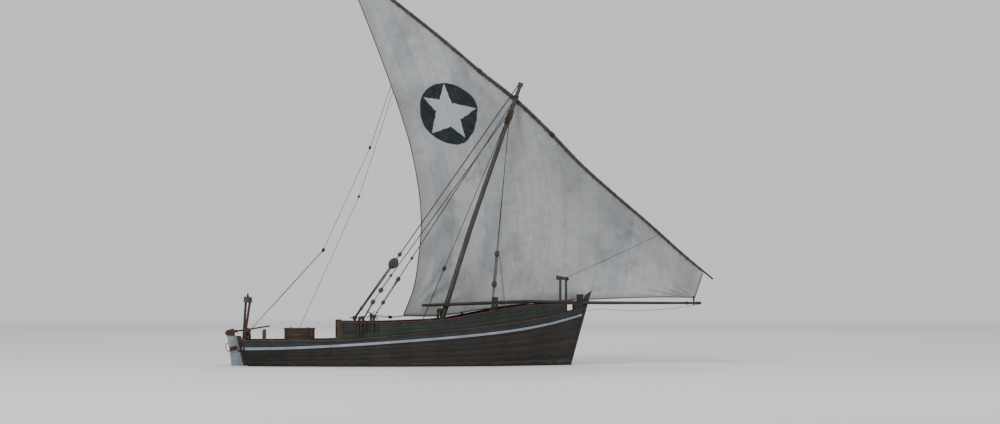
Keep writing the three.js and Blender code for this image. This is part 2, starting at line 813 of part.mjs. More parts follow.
function sail() {
  const [columns, rows] = [28, 12];
  const sheet = (shift) =>
    range(columns + 1).map((i) => range(rows + 1).map((j) => sailPoint(i / columns, j / rows, shift)));
  const cloth = toSolid(wall(sheet(SAIL_THICK / 2), sheet(-SAIL_THICK / 2)));
  const lashings = SEIZINGS.map((share) => seizingRoom(share, 3));
  return mainBody([poleRoom, slingRoom(3), ...lashings].reduce((rest, room) => rest.subtract(room), cloth));
}

// Rudder

const PINTLE_BACK = 40; // from the stern post's after face to the rudder's axis
const BLADE_HALF = 32;
const RUDDER_LOW = -980;
const STOCK_TOP = 1150;
const PINTLE_R = 18;
const GUDGEON_HALF = 35; // half its height
const GUDGEON_R = 42;
const GUDGEON_Z = [-560, 560];
const axisX = (z) => postAft(z) - PINTLE_BACK;
const rudderTilt = Math.atan(STERN_RAKE);

// A polygon's corner radius whose flats lie at the given distance
const aroundFlats = (distance, sides) => distance / Math.cos(Math.PI / sides);

// A round bar along the rudder's axis
function axisBar(z0, z1, radius, sides) {
  return toSolid(spar([vec(axisX(z0), 0, z0), vec(axisX(z1), 0, z1)], [radius, radius], sides));
}

function rudderBlade() {
  const outline = [
    [axisX(RUDDER_LOW), RUDDER_LOW],
    [axisX(STOCK_TOP), STOCK_TOP],
    [axisX(STOCK_TOP) - 300, STOCK_TOP],
    [axisX(600) - 330, 600],
    [axisX(0) - 400, 0],
    [axisX(-600) - 520, -600],
    [axisX(RUDDER_LOW) - 570, RUDDER_LOW + 40],
  ];
  const edge = axisBar(RUDDER_LOW + 10, STOCK_TOP - 10, BLADE_HALF, 16);
  const blade = toSolid(plate(outline, -BLADE_HALF, BLADE_HALF)).add(edge);
  const room = GUDGEON_HALF + 6;
  const notched = GUDGEON_Z.reduce((rest, z) => {
    const notch = block(-GUDGEON_R - 12, 200, -100, 100, -room, room);
    notch.rotateY(rudderTilt);
    notch.translate(axisX(z), 0, z);
    return rest.subtract(toSolid(notch));
  }, blade);
  return notched.add(axisBar(RUDDER_LOW + 60, STOCK_TOP - 60, PINTLE_R, 16));
}

// An iron on the stern post that one of the rudder's pintles turns in
function gudgeon(z) {
  const web = block(0, PINTLE_BACK + 20, -28, 28, -GUDGEON_HALF, GUDGEON_HALF);
  web.rotateY(rudderTilt);
  web.translate(axisX(z), 0, z);
  const ring = axisBar(z - GUDGEON_HALF, z + GUDGEON_HALF, GUDGEON_R, 24);
  const bore = axisBar(z - 80, z + 80, aroundFlats(PINTLE_R + GAP, 24), 24);
  const post = toSolid(plate(sternPostOutline(GAP), -BACKBONE_HALF - GAP, BACKBONE_HALF + GAP));
  return mainBody(toSolid(web).add(ring).subtract(bore).subtract(post));
}

function rudderHead() {
  const z = STOCK_TOP + GAP;
  const outline = [
    [axisX(z) + 12, z],
    [axisX(z) - 50, z + 260],
    [axisX(z) - 310, z + 195],
    [axisX(z) - 385, z + 90],
    [axisX(z) - 330, z],
  ];
  return plate(outline, -75, 75);
}

// Gallows at the stern, bitts at the bow

const GALLOWS_Z = 2390;

function gallowsPost(foot, head, y) {
  const outline = [
    [foot - 48, TAFFRAIL_Z + TAFFRAIL_THICK + GAP],
    [foot + 48, TAFFRAIL_Z + TAFFRAIL_THICK + GAP],
    [head + 48, GALLOWS_Z],
    [head - 48, GALLOWS_Z],
  ];
  return plate(outline, y - 48, y + 48);
}

// The crossbeam on the two posts, with a horn in its middle
function gallowsBeam(portX, starboardX, y) {
  const beam = block(-75, 75, -y - 150, y + 150, 0, 210);
  const horn = plate(
    [
      [-60, 209],
      [60, 209],
      [10, 380],
      [-10, 380],
    ],
    -50,
    50,
  );
  const geometry = toGeometry(toSolid(beam).add(toSolid(horn)));
  geometry.rotateZ(Math.atan2(starboardX - portX, 2 * y));
  geometry.translate((portX + starboardX) / 2, 0, GALLOWS_Z + GAP);
  return geometry;
}

// The bitts stand against the port side of the bowsprit
const BITT_HALF = 45;
const BITT_TOP = 3240;
const BITT_FORE_X = 5680;
const BITT_Y = spritY(BITT_FORE_X + BITT_HALF) + mix(66, 62, (BITT_FORE_X + BITT_HALF - 4100) / 2900) + GAP;

function bittPost(x) {
  return block(x - BITT_HALF, x + BITT_HALF, BITT_Y, BITT_Y + 2 * BITT_HALF, FORE_DECK_Z + GAP, BITT_TOP);
}

function bittCap() {
  const low = BITT_TOP + GAP;
  const outline = [
    [5310, low],
    [5790, low],
    [5790, low + 80],
    [5310, low + 180],
  ];
  return plate(outline, BITT_Y - 25, BITT_Y + 2 * BITT_HALF + 25);
}

// Deck locker with a lid

const LOCKER = { x0: -5020, x1: -3880, y0: -520, y1: 520, z0: AFT_DECK_Z + GAP, z1: 1380, wall: 35 };

function deckLocker() {
  const { x0, x1, y0, y1, z0, z1 } = LOCKER;
  const w = LOCKER.wall;
  return toSolid(block(x0, x1, y0, y1, z0, z1)).subtract(
    toSolid(block(x0 + w, x1 - w, y0 + w, y1 - w, z0 + w, z1 + w)),
  );
}

// Rigging: a taut rope between two points, cut back from the pieces that hold its ends
function stay(from, to, radius, foot) {
  const rope = toSolid(spar([from, to], [radius, radius], 8));
  return seated(rope.subtract(mastRoom).subtract(houndsRoom(GAP)), [foot]);
}

// Build the boat

add("keel", keel(), "tarred");
add("stem_post", stemPost(), "tarred");
add("stern_post", sternPost(), "tarred");
addPair("planking", planking(), "tarred");
add("transom", transom(), "tarred");
add("taffrail", taffrail(), "timber");
addPair("wale", wale(), "painted");
addPair("cap_rail", capRail(), "timber");
addPair("washboard", washboard(), "tarred");
const spritRoom = toSolid(bowsprit(3));
const clearOfSprit = (geometry) => mainBody(toSolid(mirrored(geometry)).subtract(spritRoom));
add("washboard_rail_port", washboardRail(), "timber");
add("washboard_rail_starboard", clearOfSprit(washboardRail()), "timber");
add("bow_board_port", bowBoard(), "tarred");
add("bow_board_starboard", clearOfSprit(bowBoard()), "tarred");
addPair("washboard_post", toGeometry(toSolid(washboardPost())), "timber");

add("aft_deck", betweenSides(plankSternX(AFT_DECK_Z - DECK_THICK) + 0.6, HOLD_AFT_X, AFT_DECK_Z - DECK_THICK, AFT_DECK_Z), "deck");
add("fore_deck", betweenSides(HOLD_FORE_X, 6037, FORE_DECK_Z - DECK_THICK, FORE_DECK_Z), "deck");
const floor = toSolid(betweenSides(HOLD_AFT_X, HOLD_FORE_X - 150, HOLD_FLOOR_Z - 40, HOLD_FLOOR_Z));
add("hold_floor", floor.subtract(mastSpar(2)), "deck");
add("mast_step", block(-80, 520, -78, 78, KEEL_TOP + GAP, -631.3), "timber");
const BEAMS = [
  // x0, x1: fore and aft edges. z: top
  { name: "beam_aft_deck", x0: HOLD_AFT_X - 130, x1: HOLD_AFT_X, z: AFT_DECK_Z - DECK_THICK - GAP },
  { name: "beam_hold", x0: -1330, x1: -1200, z: 860 },
  { name: "beam_fore_deck", x0: HOLD_FORE_X, x1: HOLD_FORE_X + 130, z: FORE_DECK_Z - DECK_THICK - GAP },
];
for (const { name, x0, x1, z } of BEAMS) add(name, betweenSides(x0, x1, z - 120, z), "timber");
const mastBeam = toSolid(betweenSides(500, 960, 870, 970)).subtract(mastSpar(2));
add("beam_mast", mastBeam, "timber");

add("mast", mast(), "spar");
add("hounds", mainBody(houndsRoom(0).subtract(mastRoom)), "rope");
add("bowsprit", bowsprit(), "spar");
add("bow_bitt_aft", bittPost(5460), "timber");
add("bow_bitt_fore", bittPost(BITT_FORE_X), "timber");
add("bow_bitt_cap", bittCap(), "timber");
const GALLOWS = { y: 1050, portFoot: -6575, portHead: -6490, starboardFoot: -6512, starboardHead: -6315 };
add("gallows_post_port", gallowsPost(GALLOWS.portFoot, GALLOWS.portHead, GALLOWS.y), "timber");
add("gallows_post_starboard", gallowsPost(GALLOWS.starboardFoot, GALLOWS.starboardHead, -GALLOWS.y), "timber");
add("gallows_beam", gallowsBeam(GALLOWS.portHead, GALLOWS.starboardHead, GALLOWS.y), "timber");
add("deck_locker", deckLocker(), "timber");
const lidUnder = LOCKER.z1 + GAP;
add("locker_lid", block(LOCKER.x0 - 20, LOCKER.x1 + 20, LOCKER.y0 - 20, LOCKER.y1 + 20, lidUnder, lidUnder + 40), "timber");

// Timber heads that the shrouds and the halyard are made fast to, inside the starboard washboard
const HEADS = [
  { name: "timber_head_halyard", x: -2400, top: 1900 },
  { name: "timber_head_aft", x: -1690, top: 1930 },
  { name: "timber_head_fore", x: 2740, top: 2210 },
];
const heads = HEADS.map(({ name, x, top }) => {
  const foot = hullPoint(stationAt(x), RAIL_ROW, 0);
  const outer = Math.min(foot.y, hullPoint(stationAt(x + 45), RAIL_ROW, 0).y) - PLANK - 34;
  const head = block(x - 45, x + 45, -outer, -outer + 90, foot.z - 100, top);
  add(name, head, "timber");
  return toSolid(head);
});
const headTop = (k) => {
  const { min, max } = heads[k].boundingBox();
  return vec((min[0] + max[0]) / 2, (min[1] + max[1]) / 2, max[2] - 60);
};
const houndsCentre = mastAt(HOUNDS_Z);
add("shroud_fore", stay(houndsCentre, headTop(2), 16, heads[2]), "rope");
add("shroud_aft", stay(mastAt(10200), headTop(1), 16, heads[1]), "rope");
const hoistTop = mastAt(SHEAVE_Z);
const hoistFoot = headTop(0);
const hoistDown = hoistFoot.clone().sub(hoistTop).normalize();
const hoistTurn = new THREE.Quaternion().setFromUnitVectors(vec(0, 0, -1), hoistDown);
const hoistBlockAt = hoistTop.clone().addScaledVector(hoistDown, HOIST_BLOCK.along);
function hoistBlock(extra) {
  const { wide, thick, long } = HOIST_BLOCK;
  const body = new THREE.BoxGeometry(wide + 2 * extra, thick + 2 * extra, long + 2 * extra);
  body.applyQuaternion(hoistTurn);
  return toSolid(body.translate(hoistBlockAt.x, hoistBlockAt.y, hoistBlockAt.z));
}
const hoistRoom = hoistBlock(GAP);
const fall = (from, to, radius) => toSolid(spar([from, to], [radius, radius], 8)).subtract(hoistRoom);
add("halyard_block", hoistBlock(0), "timber");
add("halyard", mainBody(fall(hoistTop, hoistBlockAt, 20).subtract(mastRoom).subtract(houndsRoom(GAP))), "rope");
add("halyard_tackle", seated(fall(hoistBlockAt, hoistFoot, 34), [heads[0]]), "rope");

GUDGEON_Z.forEach((z, k) => add("gudgeon_" + (k + 1), gudgeon(z), "iron"));
add("rudder_blade", rudderBlade(), "rudder");
add("rudder_head", rudderHead(), "timber");
const tillerRoot = vec(axisX(1280) - 80, 0, 1280);
add(
  "tiller",
  seated(toSolid(spar([tillerRoot, vec(-6600, 0, 1340), vec(-5560, 0, 1500)], [34, 36, 26], 10)), [toSolid(rudderHead())]),
  "timber",
);

add("yard_lower_pole", lowerPole(), "spar");
add("yard_upper_pole", upperPole(), "spar");
SEIZINGS.forEach((share, k) => {
  add("yard_seizing_" + (k + 1), mainBody(seizingRoom(share, 0).subtract(poleRoom)), "rope");
});
add("yard_sling", mainBody(slingRoom(0).subtract(poleRoom)), "rope");
add("sail", sail(), "canvas");

export default group;
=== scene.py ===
# %% [markdown]
# # A lateen-rigged dhow, dressed in wood, rope and canvas
# The boat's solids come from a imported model, which gives every place and size in metres:
# +X is the bow, +Y is port, +Z is up, and the origin lies amidships on the waterline.
# This lesson puts planks, ropes, cloth and finishes round those solids, one step at a time.

import json
import math
import random

import bmesh
import bpy
from mathutils import Matrix, Vector
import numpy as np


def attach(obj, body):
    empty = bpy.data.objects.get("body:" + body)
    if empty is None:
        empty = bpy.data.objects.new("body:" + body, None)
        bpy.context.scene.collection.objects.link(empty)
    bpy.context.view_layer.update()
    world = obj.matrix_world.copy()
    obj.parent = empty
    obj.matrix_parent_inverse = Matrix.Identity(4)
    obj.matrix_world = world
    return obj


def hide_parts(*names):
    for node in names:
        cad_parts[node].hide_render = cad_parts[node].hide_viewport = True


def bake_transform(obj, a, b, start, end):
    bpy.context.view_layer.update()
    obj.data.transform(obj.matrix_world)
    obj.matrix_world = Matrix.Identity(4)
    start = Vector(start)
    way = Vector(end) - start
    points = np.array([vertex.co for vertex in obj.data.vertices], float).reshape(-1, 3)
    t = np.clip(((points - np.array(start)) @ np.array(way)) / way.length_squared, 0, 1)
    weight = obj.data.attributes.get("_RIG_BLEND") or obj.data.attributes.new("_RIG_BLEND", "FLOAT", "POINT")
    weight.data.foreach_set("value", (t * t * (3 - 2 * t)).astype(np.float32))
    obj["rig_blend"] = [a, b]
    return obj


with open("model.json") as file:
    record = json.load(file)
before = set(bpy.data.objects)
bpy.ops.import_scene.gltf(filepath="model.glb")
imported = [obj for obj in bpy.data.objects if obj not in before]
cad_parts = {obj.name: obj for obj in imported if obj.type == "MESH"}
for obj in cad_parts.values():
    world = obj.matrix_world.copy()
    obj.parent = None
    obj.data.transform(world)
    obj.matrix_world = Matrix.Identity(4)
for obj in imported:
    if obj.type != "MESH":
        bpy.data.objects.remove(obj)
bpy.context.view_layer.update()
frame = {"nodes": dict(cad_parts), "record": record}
rng = random.Random(7)
SIDES = ((1, "port"), (-1, "starboard"))
X_WAY, Y_WAY, Z_WAY = (Vector(row) for row in ((1, 0, 0), (0, 1, 0), (0, 0, 1)))

# %% [markdown]
# ## The camera
# The photograph is taken from far off on the starboard side with a long lens, a little abaft
# the beam and from a few metres above the water. A real place and a real lens are used here,
# and the camera is turned slightly up and to the right, which puts the hull low in the frame.

# %% Camera
CAMERA_DISTANCE = 115.0
CAMERA_HEIGHT = 3.59
ABAFT = math.radians(2.5)
PICTURE_DOTS = 1000
LENS_DOTS = 3026.3  # focal length in picture dots
RIGHT_DOTS, UP_DOTS = 83.0, 58.7  # how far the boat's middle lies from the picture's
SENSOR = 36.0
FAR_END = 600
ahead = Vector((math.sin(ABAFT), math.cos(ABAFT), 0))
rightward = Vector((math.cos(ABAFT), -math.sin(ABAFT), 0))
looking = ahead * LENS_DOTS + rightward * RIGHT_DOTS + Z_WAY * UP_DOTS
camera = bpy.data.objects.new("camera", bpy.data.cameras.new("camera"))
camera.data.lens = SENSOR * LENS_DOTS / PICTURE_DOTS
camera.data.sensor_width = SENSOR
camera.data.clip_end = FAR_END
camera.location = -CAMERA_DISTANCE * ahead + Z_WAY * CAMERA_HEIGHT
camera.rotation_euler = looking.to_track_quat("-Z", "Y").to_euler()
bpy.context.collection.objects.link(camera)
bpy.context.scene.camera = camera
print("camera at", [round(v, 2) for v in camera.location], "lens", round(camera.data.lens, 1))

# %% [markdown]
# ## Building a finish from nodes
# Every finish is a small network of shader nodes. A term is one output in such a network, and
# arithmetic on terms adds the nodes that work it out, so each finish below reads as a short
# recipe. Patterns read the piece's own coordinates or its UV map, so they stay on the surface.

# %% Terms and recipes
class Term:
    """An output of a node in a recipe."""

    def __init__(self, recipe, socket):
        self.recipe = recipe
        self.socket = socket

    def math(self, operation, *others):
        return self.recipe.math(operation, self, *others)

    def __add__(self, other):
        return self.math("ADD", other)

    def __sub__(self, other):
        return self.math("SUBTRACT", other)

    def __rsub__(self, other):
        return self.recipe.math("SUBTRACT", other, self)

    def __mul__(self, other):
        return self.math("MULTIPLY", other)

    def scaled(self, factor, shift):
        return self.math("MULTIPLY_ADD", factor, shift)

    def ramp(self, *stops):
        """A colour ramp of this value. Each stop is a place and a colour or a grey."""
        node = self.recipe.put("ValToRGB", Fac=self)
        elements = node.color_ramp.elements
        while len(elements) < len(stops):
            elements.new(0.5)
        for element, (place, colour) in zip(elements, stops):
            element.position = place
            element.color = (colour,) * 3 + (1,) if isinstance(colour, (int, float)) else (*colour, 1)
        return Term(self.recipe, node.outputs[0])

    def noise(self, scale, detail, roughness, distortion=0.0):
        inputs = {"Scale": scale, "Detail": detail, "Roughness": roughness, "Distortion": distortion}
        return self.recipe.out("Fac", "TexNoise", Vector=self, **inputs)

    def stretched(self, scale, turn=(0, 0, 0)):
        return self.recipe.out(0, "Mapping", Vector=self, Scale=scale, Rotation=turn)

    def parts(self):
        return [Term(self.recipe, socket) for socket in self.recipe.put("SeparateXYZ", Vector=self).outputs]


class Recipe:
    """A finish in the making: its material, and the nodes put into it."""

    def __init__(self, name, roughness, metallic=0.0, specular=0.35):
        self.material = bpy.data.materials.new(name)
        self.material.use_nodes = True
        self.surface = self.material.node_tree.nodes["Principled BSDF"]
        values = {"Roughness": roughness, "Metallic": metallic, "Specular IOR Level": specular}
        for socket, value in values.items():
            self.surface.inputs[socket].default_value = value

    def put(self, kind, options=None, **inputs):
        """Adds a node. An input is a number, a colour or a term, and i2 is the third of a node's inputs."""
        node = self.material.node_tree.nodes.new("ShaderNode" + kind)
        for key, value in (options or {}).items():
            setattr(node, key, value)
        for key, value in inputs.items():
            socket = node.inputs[int(key[1:]) if key[0] == "i" and key[1:].isdigit() else key]
            if isinstance(value, Term):
                self.join(value, socket)
            else:
                socket.default_value = value
        return node

    def out(self, output, kind, options=None, **inputs):
        return Term(self, self.put(kind, options, **inputs).outputs[output])

    def join(self, term, socket):
        self.material.node_tree.links.new(term.socket, socket)

    def math(self, operation, *values):
        inputs = {f"i{k}": value for k, value in enumerate(values)}
        return self.out(0, "Math", {"operation": operation}, **inputs)

    def place(self):
        return self.out("Object", "TexCoord")

    def uv(self, name):
        return self.out(0, "UVMap", {"uv_map": name})

    def attribute(self, name):
        return self.out("Fac", "Attribute", {"attribute_name": name})

    def blend(self, share, first, second, mode="MIX"):
        """Mixes two colours, by a share of the second."""
        second = second if isinstance(second, Term) else (*second, 1)
        return self.out(2, "Mix", {"data_type": "RGBA", "blend_type": mode}, i0=share, i6=first, i7=second)

    def finished(self, colour, height, strength, distance):
        """Lays on the colour and a bump, and hands over the material."""
        bump = self.out(0, "Bump", Height=height, Strength=strength, Distance=distance)
        self.join(bump, self.surface.inputs["Normal"])
        self.join(colour, self.surface.inputs["Base Color"])
        return self.material


# %% [markdown]
# ## Wood, painted and bare
# A dhow is wood nearly all over, so one recipe serves for planks, timbers and spars: long fine
# grain along the piece, broad weather stains, darker damp low down, a small step in tone from
# plank to plank, and pale wear where edges are rubbed. Only the colours and grain direction change.

# %% Wood finish
GRAIN_SCALES = {"X": (1.1, 22, 22), "Y": (22, 1.1, 22), "Z": (22, 22, 1.1)}
FINER = 4.2
SALT = (0.16, 0.15, 0.135)


def wood(name, dark, light, roughness=0.75, along="X", stain=None, worn=None, paint=0.0, lean=0.0, wet=None):
    """Wood or painted wood with its grain along an axis, which may lean in the boat's side view."""
    recipe = Recipe(name, roughness)
    place = recipe.place()
    turned = place.stretched((1, 1, 1), (0, lean, 0))
    grain = turned.stretched(GRAIN_SCALES[along]).noise(1.0, 8, 0.62, 0.6)
    fine = turned.stretched([FINER * v for v in GRAIN_SCALES[along]]).noise(1.0, 3, 0.5)
    patch = place.noise(1.7, 5, 0.6, 0.3)
    middle = [0.5 * (a + b) for a, b in zip(dark, light)]
    colour = grain.ramp((0.3, dark), (0.5, middle), (0.72, light))
    colour = recipe.out(0, "HueSaturation", Value=recipe.attribute("plank_tone") + 1.0, Color=colour)
    dirt = patch.ramp((0.36, 1.0), (0.62, 0.0)) * 0.55
    colour = recipe.blend(dirt, colour, stain or [0.45 * v for v in dark])
    if worn:
        share = recipe.attribute("rubbed") * place.noise(8.0, 6, 0.7).ramp((0.48, 0.0), (0.68, 0.75))
        if paint:
            flaked = place.noise(6.0, 8, 0.7).ramp((0.60, 0.0), (0.66, 1.0))
            share = share.math("MAXIMUM", flaked * paint)
        colour = recipe.blend(share, colour, worn)
    if wet:
        damp = (patch - 0.5).scaled(0.35, place.parts()[2]).scaled(2.0, 0.5)
        colour = recipe.blend(damp.ramp((0.45, 0.75), (0.72, 0.0)), colour, wet)
        colour = recipe.blend(damp.ramp((0.66, 0.0), (0.78, 0.14), (0.95, 0.0)), colour, SALT)
    shine = recipe.out(0, "MapRange", Value=patch, i3=roughness - 0.1, i4=min(roughness + 0.12, 1.0))
    recipe.join(shine, recipe.surface.inputs["Roughness"])
    return recipe.finished(colour, grain + fine * 0.5, 0.45, 0.004)


BROWN = ((0.03, 0.019, 0.012), (0.088, 0.058, 0.038), 0.78)
BROWN_WORN, SPAR_WORN = (0.17, 0.125, 0.085), (0.18, 0.13, 0.09)
TARRED = wood(
    "tarred_planks", (0.011, 0.009, 0.007), (0.04, 0.032, 0.025), 0.62,
    worn=(0.09, 0.07, 0.05), wet=(0.022, 0.024, 0.016),
)
TOPSIDE = wood(
    "blue_black_paint", (0.018, 0.024, 0.031), (0.04, 0.05, 0.06), 0.6, worn=(0.1, 0.08, 0.06), paint=0.35
)
WALE_PAINT = wood(
    "pale_blue_paint", (0.225, 0.25, 0.28), (0.35, 0.38, 0.41), 0.7,
    stain=(0.13, 0.14, 0.145), worn=(0.08, 0.06, 0.042), paint=0.8,
)
WASHBOARD_PAINT = wood(
    "green_black_paint", (0.012, 0.017, 0.014), (0.031, 0.038, 0.031), 0.7, worn=(0.1, 0.075, 0.05), paint=0.3
)
RED_TIMBER = wood("reddish_timber", (0.036, 0.016, 0.011), (0.105, 0.05, 0.035), worn=(0.19, 0.12, 0.085))
BROWN_TIMBER = wood("brown_timber", *BROWN, worn=BROWN_WORN)
UPRIGHT_TIMBER = wood("brown_timber_upright", *BROWN, along="Z", worn=BROWN_WORN)
CROSS_TIMBER = wood(
    "brown_timber_across", (0.032, 0.02, 0.013), (0.092, 0.06, 0.04), 0.8, along="Y", worn=BROWN_WORN
)
GALLOWS_WOOD = wood(
    "gallows_wood", (0.028, 0.014, 0.01), (0.085, 0.045, 0.033), 0.78, along="Z", worn=(0.15, 0.1, 0.07)
)
BITT_WOOD = wood(
    "bitt_wood", (0.018, 0.021, 0.019), (0.06, 0.062, 0.052), along="Z", worn=(0.15, 0.12, 0.085)
)
INNER_WOOD = wood("inner_planks", (0.05, 0.033, 0.022), (0.14, 0.1, 0.068), 0.85, stain=(0.025, 0.02, 0.015))
DECK_WOOD = wood("deck_boards", (0.075, 0.053, 0.036), (0.21, 0.16, 0.115), 0.85, stain=(0.045, 0.034, 0.024))
FLOOR_WOOD = wood("hold_boards", (0.07, 0.05, 0.033), (0.18, 0.13, 0.09), 0.85, stain=(0.035, 0.028, 0.02))
MAST_WOOD = wood(
    "mast_wood", (0.028, 0.027, 0.022), (0.085, 0.08, 0.062), 0.66,
    along="Z", lean=-0.328, worn=(0.16, 0.14, 0.1),
)
YARD_WOOD = wood("yard_wood", (0.03, 0.021, 0.015), (0.095, 0.066, 0.046), 0.66, lean=0.755, worn=SPAR_WORN)
SPRIT_WOOD = wood("bowsprit_wood", (0.023, 0.017, 0.014), (0.068, 0.051, 0.042), 0.66, worn=SPAR_WORN)
RUDDER_PAINT = wood(
    "rudder_paint", (0.17, 0.2, 0.225), (0.31, 0.345, 0.375), 0.72, along="Z", lean=0.226,
    stain=(0.1, 0.115, 0.12), worn=(0.09, 0.07, 0.05), paint=0.8,
)
BLOCK_WOOD = wood(
    "block_wood", (0.022, 0.016, 0.012), (0.066, 0.048, 0.034), 0.5, along="Z", worn=(0.15, 0.11, 0.07)
)
print("wood finishes", len(bpy.data.materials))

# %% [markdown]
# ## Rope, iron and pitch
# Coir rope is laid from three strands. The strands wind round the rope, so the pattern needs to
# know how far along and how far round each point is: that is what the rope's UV map holds.
# Iron on such a boat is forged and rusty, with rough flakes of warm brown over dark scale.

# %% Rope, iron and pitch finishes
STRANDS = 3.0


def rope_finish():
    recipe = Recipe("coir_rope", 0.92)
    around, along, _ = recipe.uv("around_and_along").parts()
    strand = ((around * STRANDS + along) * (2 * math.pi)).math("SINE").scaled(0.5, 0.5)
    place = recipe.place()
    # The strand value darkens the grooves between the strands, which is painted shade; the hair noise is the
    # fibres' own tone.
    strands_and_groove_shade = strand.scaled(0.6, place.noise(160.0, 3, 0.7) * 0.4)
    colour = strands_and_groove_shade.ramp((0.12, (0.016, 0.012, 0.009)), (0.8, (0.1, 0.077, 0.055)))
    age = place.noise(3.0, 4, 0.6).ramp((0.35, 0.55), (0.65, 1.0))
    return recipe.finished(recipe.blend(1.0, colour, age, "MULTIPLY"), strands_and_groove_shade, 0.8, 0.006)


def iron_finish():
    recipe = Recipe("rusty_iron", 0.7, 0.55)
    flakes = recipe.place().noise(24.0, 6, 0.7, 0.4)
    scale, rust, bright_rust = (0.03, 0.026, 0.024), (0.09, 0.045, 0.025), (0.19, 0.09, 0.045)
    return recipe.finished(flakes.ramp((0.35, scale), (0.55, rust), (0.75, bright_rust)), flakes, 0.6, 0.004)


def pitch_finish():
    recipe = Recipe("pitch_in_seams", 0.5)
    lumps = recipe.place().noise(30.0, 4, 0.6)
    return recipe.finished(lumps.ramp((0.3, 0.006), (0.7, 0.02)), lumps, 0.5, 0.004)


ROPE, IRON, PITCH = rope_finish(), iron_finish(), pitch_finish()
print("rope, iron and pitch finishes made")

# %% [markdown]
# ## Turning shapes into pieces
# A piece is made in a bmesh, then becomes a mesh object at the origin that rides on one body of
# the boat. Edges sharper than an angle stay sharp and the rest shade smoothly.

# %% Helpers for pieces
def once(things):
    """The things without repeats, in the order they came. A set of mesh parts has no fixed order."""
    return list(dict.fromkeys(things))


def faces_of(verts):
    return once(face for vert in verts for face in vert.link_faces)


def edges_of(verts):
    return once(edge for vert in verts for edge in vert.link_edges)


def fresh_mesh(painted=False):
    """An empty mesh for ropes, or for timbers as well, which need to know where they are worn."""
    bm = bmesh.new()
    bm.loops.layers.uv.new("around_and_along")
    if painted:
        bm.faces.layers.float.new("plank_tone")
        bm.faces.layers.float.new("rubbed")
    return bm


def make_piece(name, bm, body, finishes, sharp=40, node=None):
    """A mesh object on a body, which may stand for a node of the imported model."""
    mesh = bpy.data.meshes.new(name)
    bm.normal_update()
    bm.to_mesh(mesh)
    bm.free()
    for finish in finishes if isinstance(finishes, list) else [finishes]:
        mesh.materials.append(finish)
    mesh.shade_smooth()
    mesh.set_sharp_from_angle(angle=math.radians(sharp))
    piece = bpy.data.objects.new(name, mesh)
    bpy.context.collection.objects.link(piece)
    if body:
        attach(piece, body)
    if node:
        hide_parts(node)
    return piece


def rope_piece(name, bm, body="hull", node=None):
    return make_piece(name, bm, body, ROPE, 60, node)


def copy_of(node, limit=1.0):
    """A node's mesh with its loose triangles joined, and flat neighbours dissolved."""
    bm = bmesh.new()
    bm.from_mesh(frame["nodes"][node].data)
    bm.faces.layers.float.new("plank_tone")
    bm.faces.layers.float.new("rubbed")
    bmesh.ops.remove_doubles(bm, verts=bm.verts, dist=0.0001)
    bmesh.ops.dissolve_limit(bm, angle_limit=math.radians(limit), verts=bm.verts, edges=bm.edges)
    return bm


def bevel(bm, edges, width, clamp=True):
    """Rounds some edges and marks the new faces as rubbed, as a plane and years of use do."""
    made = bmesh.ops.bevel(
        bm, geom=edges, offset=width, offset_type="OFFSET", affect="EDGES", segments=2, profile=0.5,
        material=-1, clamp_overlap=clamp,
    )
    rubbed = bm.faces.layers.float.get("rubbed")
    if rubbed:
        for face in made["faces"]:
            face[rubbed] = 1.0


def refine(node, name, finish, width, sharp=30):
    """A copy of a node with its sharp edges rounded, which stands for it."""
    bm = copy_of(node)
    bm.normal_update()
    bevel(bm, [e for e in bm.edges if e.is_manifold and e.calc_face_angle(0) > math.radians(sharp)], width)
    bodies = frame["record"]["behaviour"]["bodies"]
    body = next(body for body, nodes in bodies.items() if node in nodes)
    make_piece(name, bm, body, finish, node=node)


# %% [markdown]
# ## Timbers with rounded edges
# Keel, posts, rails, wales and beams have the right shape already. Each gets its edges rounded by
# a few millimetres and its own finish: paint on the wales and the rudder, rust on the gudgeons,
# tar on the keel and its posts, and bare wood on the rest.

# %% Timbers
TIMBERS = [
    # node, piece, finish, rounding in metres, and the words that the star stands for
    ("keel", "keel_timber", TARRED, 0.012, ""),
    ("stem_post", "stem_timber", TARRED, 0.012, ""),
    ("stern_post", "stern_timber", TARRED, 0.010, ""),
    ("wale_*", "wale_plank_*", WALE_PAINT, 0.010, "port starboard"),
    ("cap_rail_*", "cap_rail_plank_*", BROWN_TIMBER, 0.010, "port starboard"),
    ("washboard_rail_*", "washboard_capping_*", RED_TIMBER, 0.009, "port starboard"),
    ("washboard_post_*", "washboard_end_*", UPRIGHT_TIMBER, 0.008, "port starboard"),
    ("taffrail", "taffrail_plank", CROSS_TIMBER, 0.010, ""),
    ("mast_step", "mast_step_timber", BROWN_TIMBER, 0.012, ""),
    ("beam_*", "beam_timber_*", CROSS_TIMBER, 0.010, "aft_deck hold fore_deck mast"),
    ("bow_bitt_*", "bitt_post_*", BITT_WOOD, 0.010, "aft fore"),
    ("bow_bitt_cap", "bitt_cap_timber", BITT_WOOD, 0.014, ""),
    ("gallows_post_*", "gallows_timber_*", GALLOWS_WOOD, 0.010, "port starboard"),
    ("timber_head_*", "timber_head_post_*", UPRIGHT_TIMBER, 0.010, "halyard aft fore"),
    ("rudder_blade", "rudder_board", RUDDER_PAINT, 0.008, ""),
    ("rudder_head", "rudder_head_timber", RED_TIMBER, 0.014, ""),
    ("gudgeon_*", "gudgeon_iron_*", IRON, 0.003, "1 2"),
]
for node, name, finish, width, words in TIMBERS:
    for word in words.split() or [""]:
        refine(node.replace("*", word), name.replace("*", word), finish, width)
print("timbers refined")

# %% [markdown]
# ## Curves that the boat was drawn with
# The hull's sections, the spars and the sail are smooth curves through a few measured points.
# The same curves are used again here, so the planks, ropes and cloth lie where the solids are.
# Round spars and ropes are grids rolled into tubes along such a curve, which also gives each of
# them a UV map that runs round and along it.

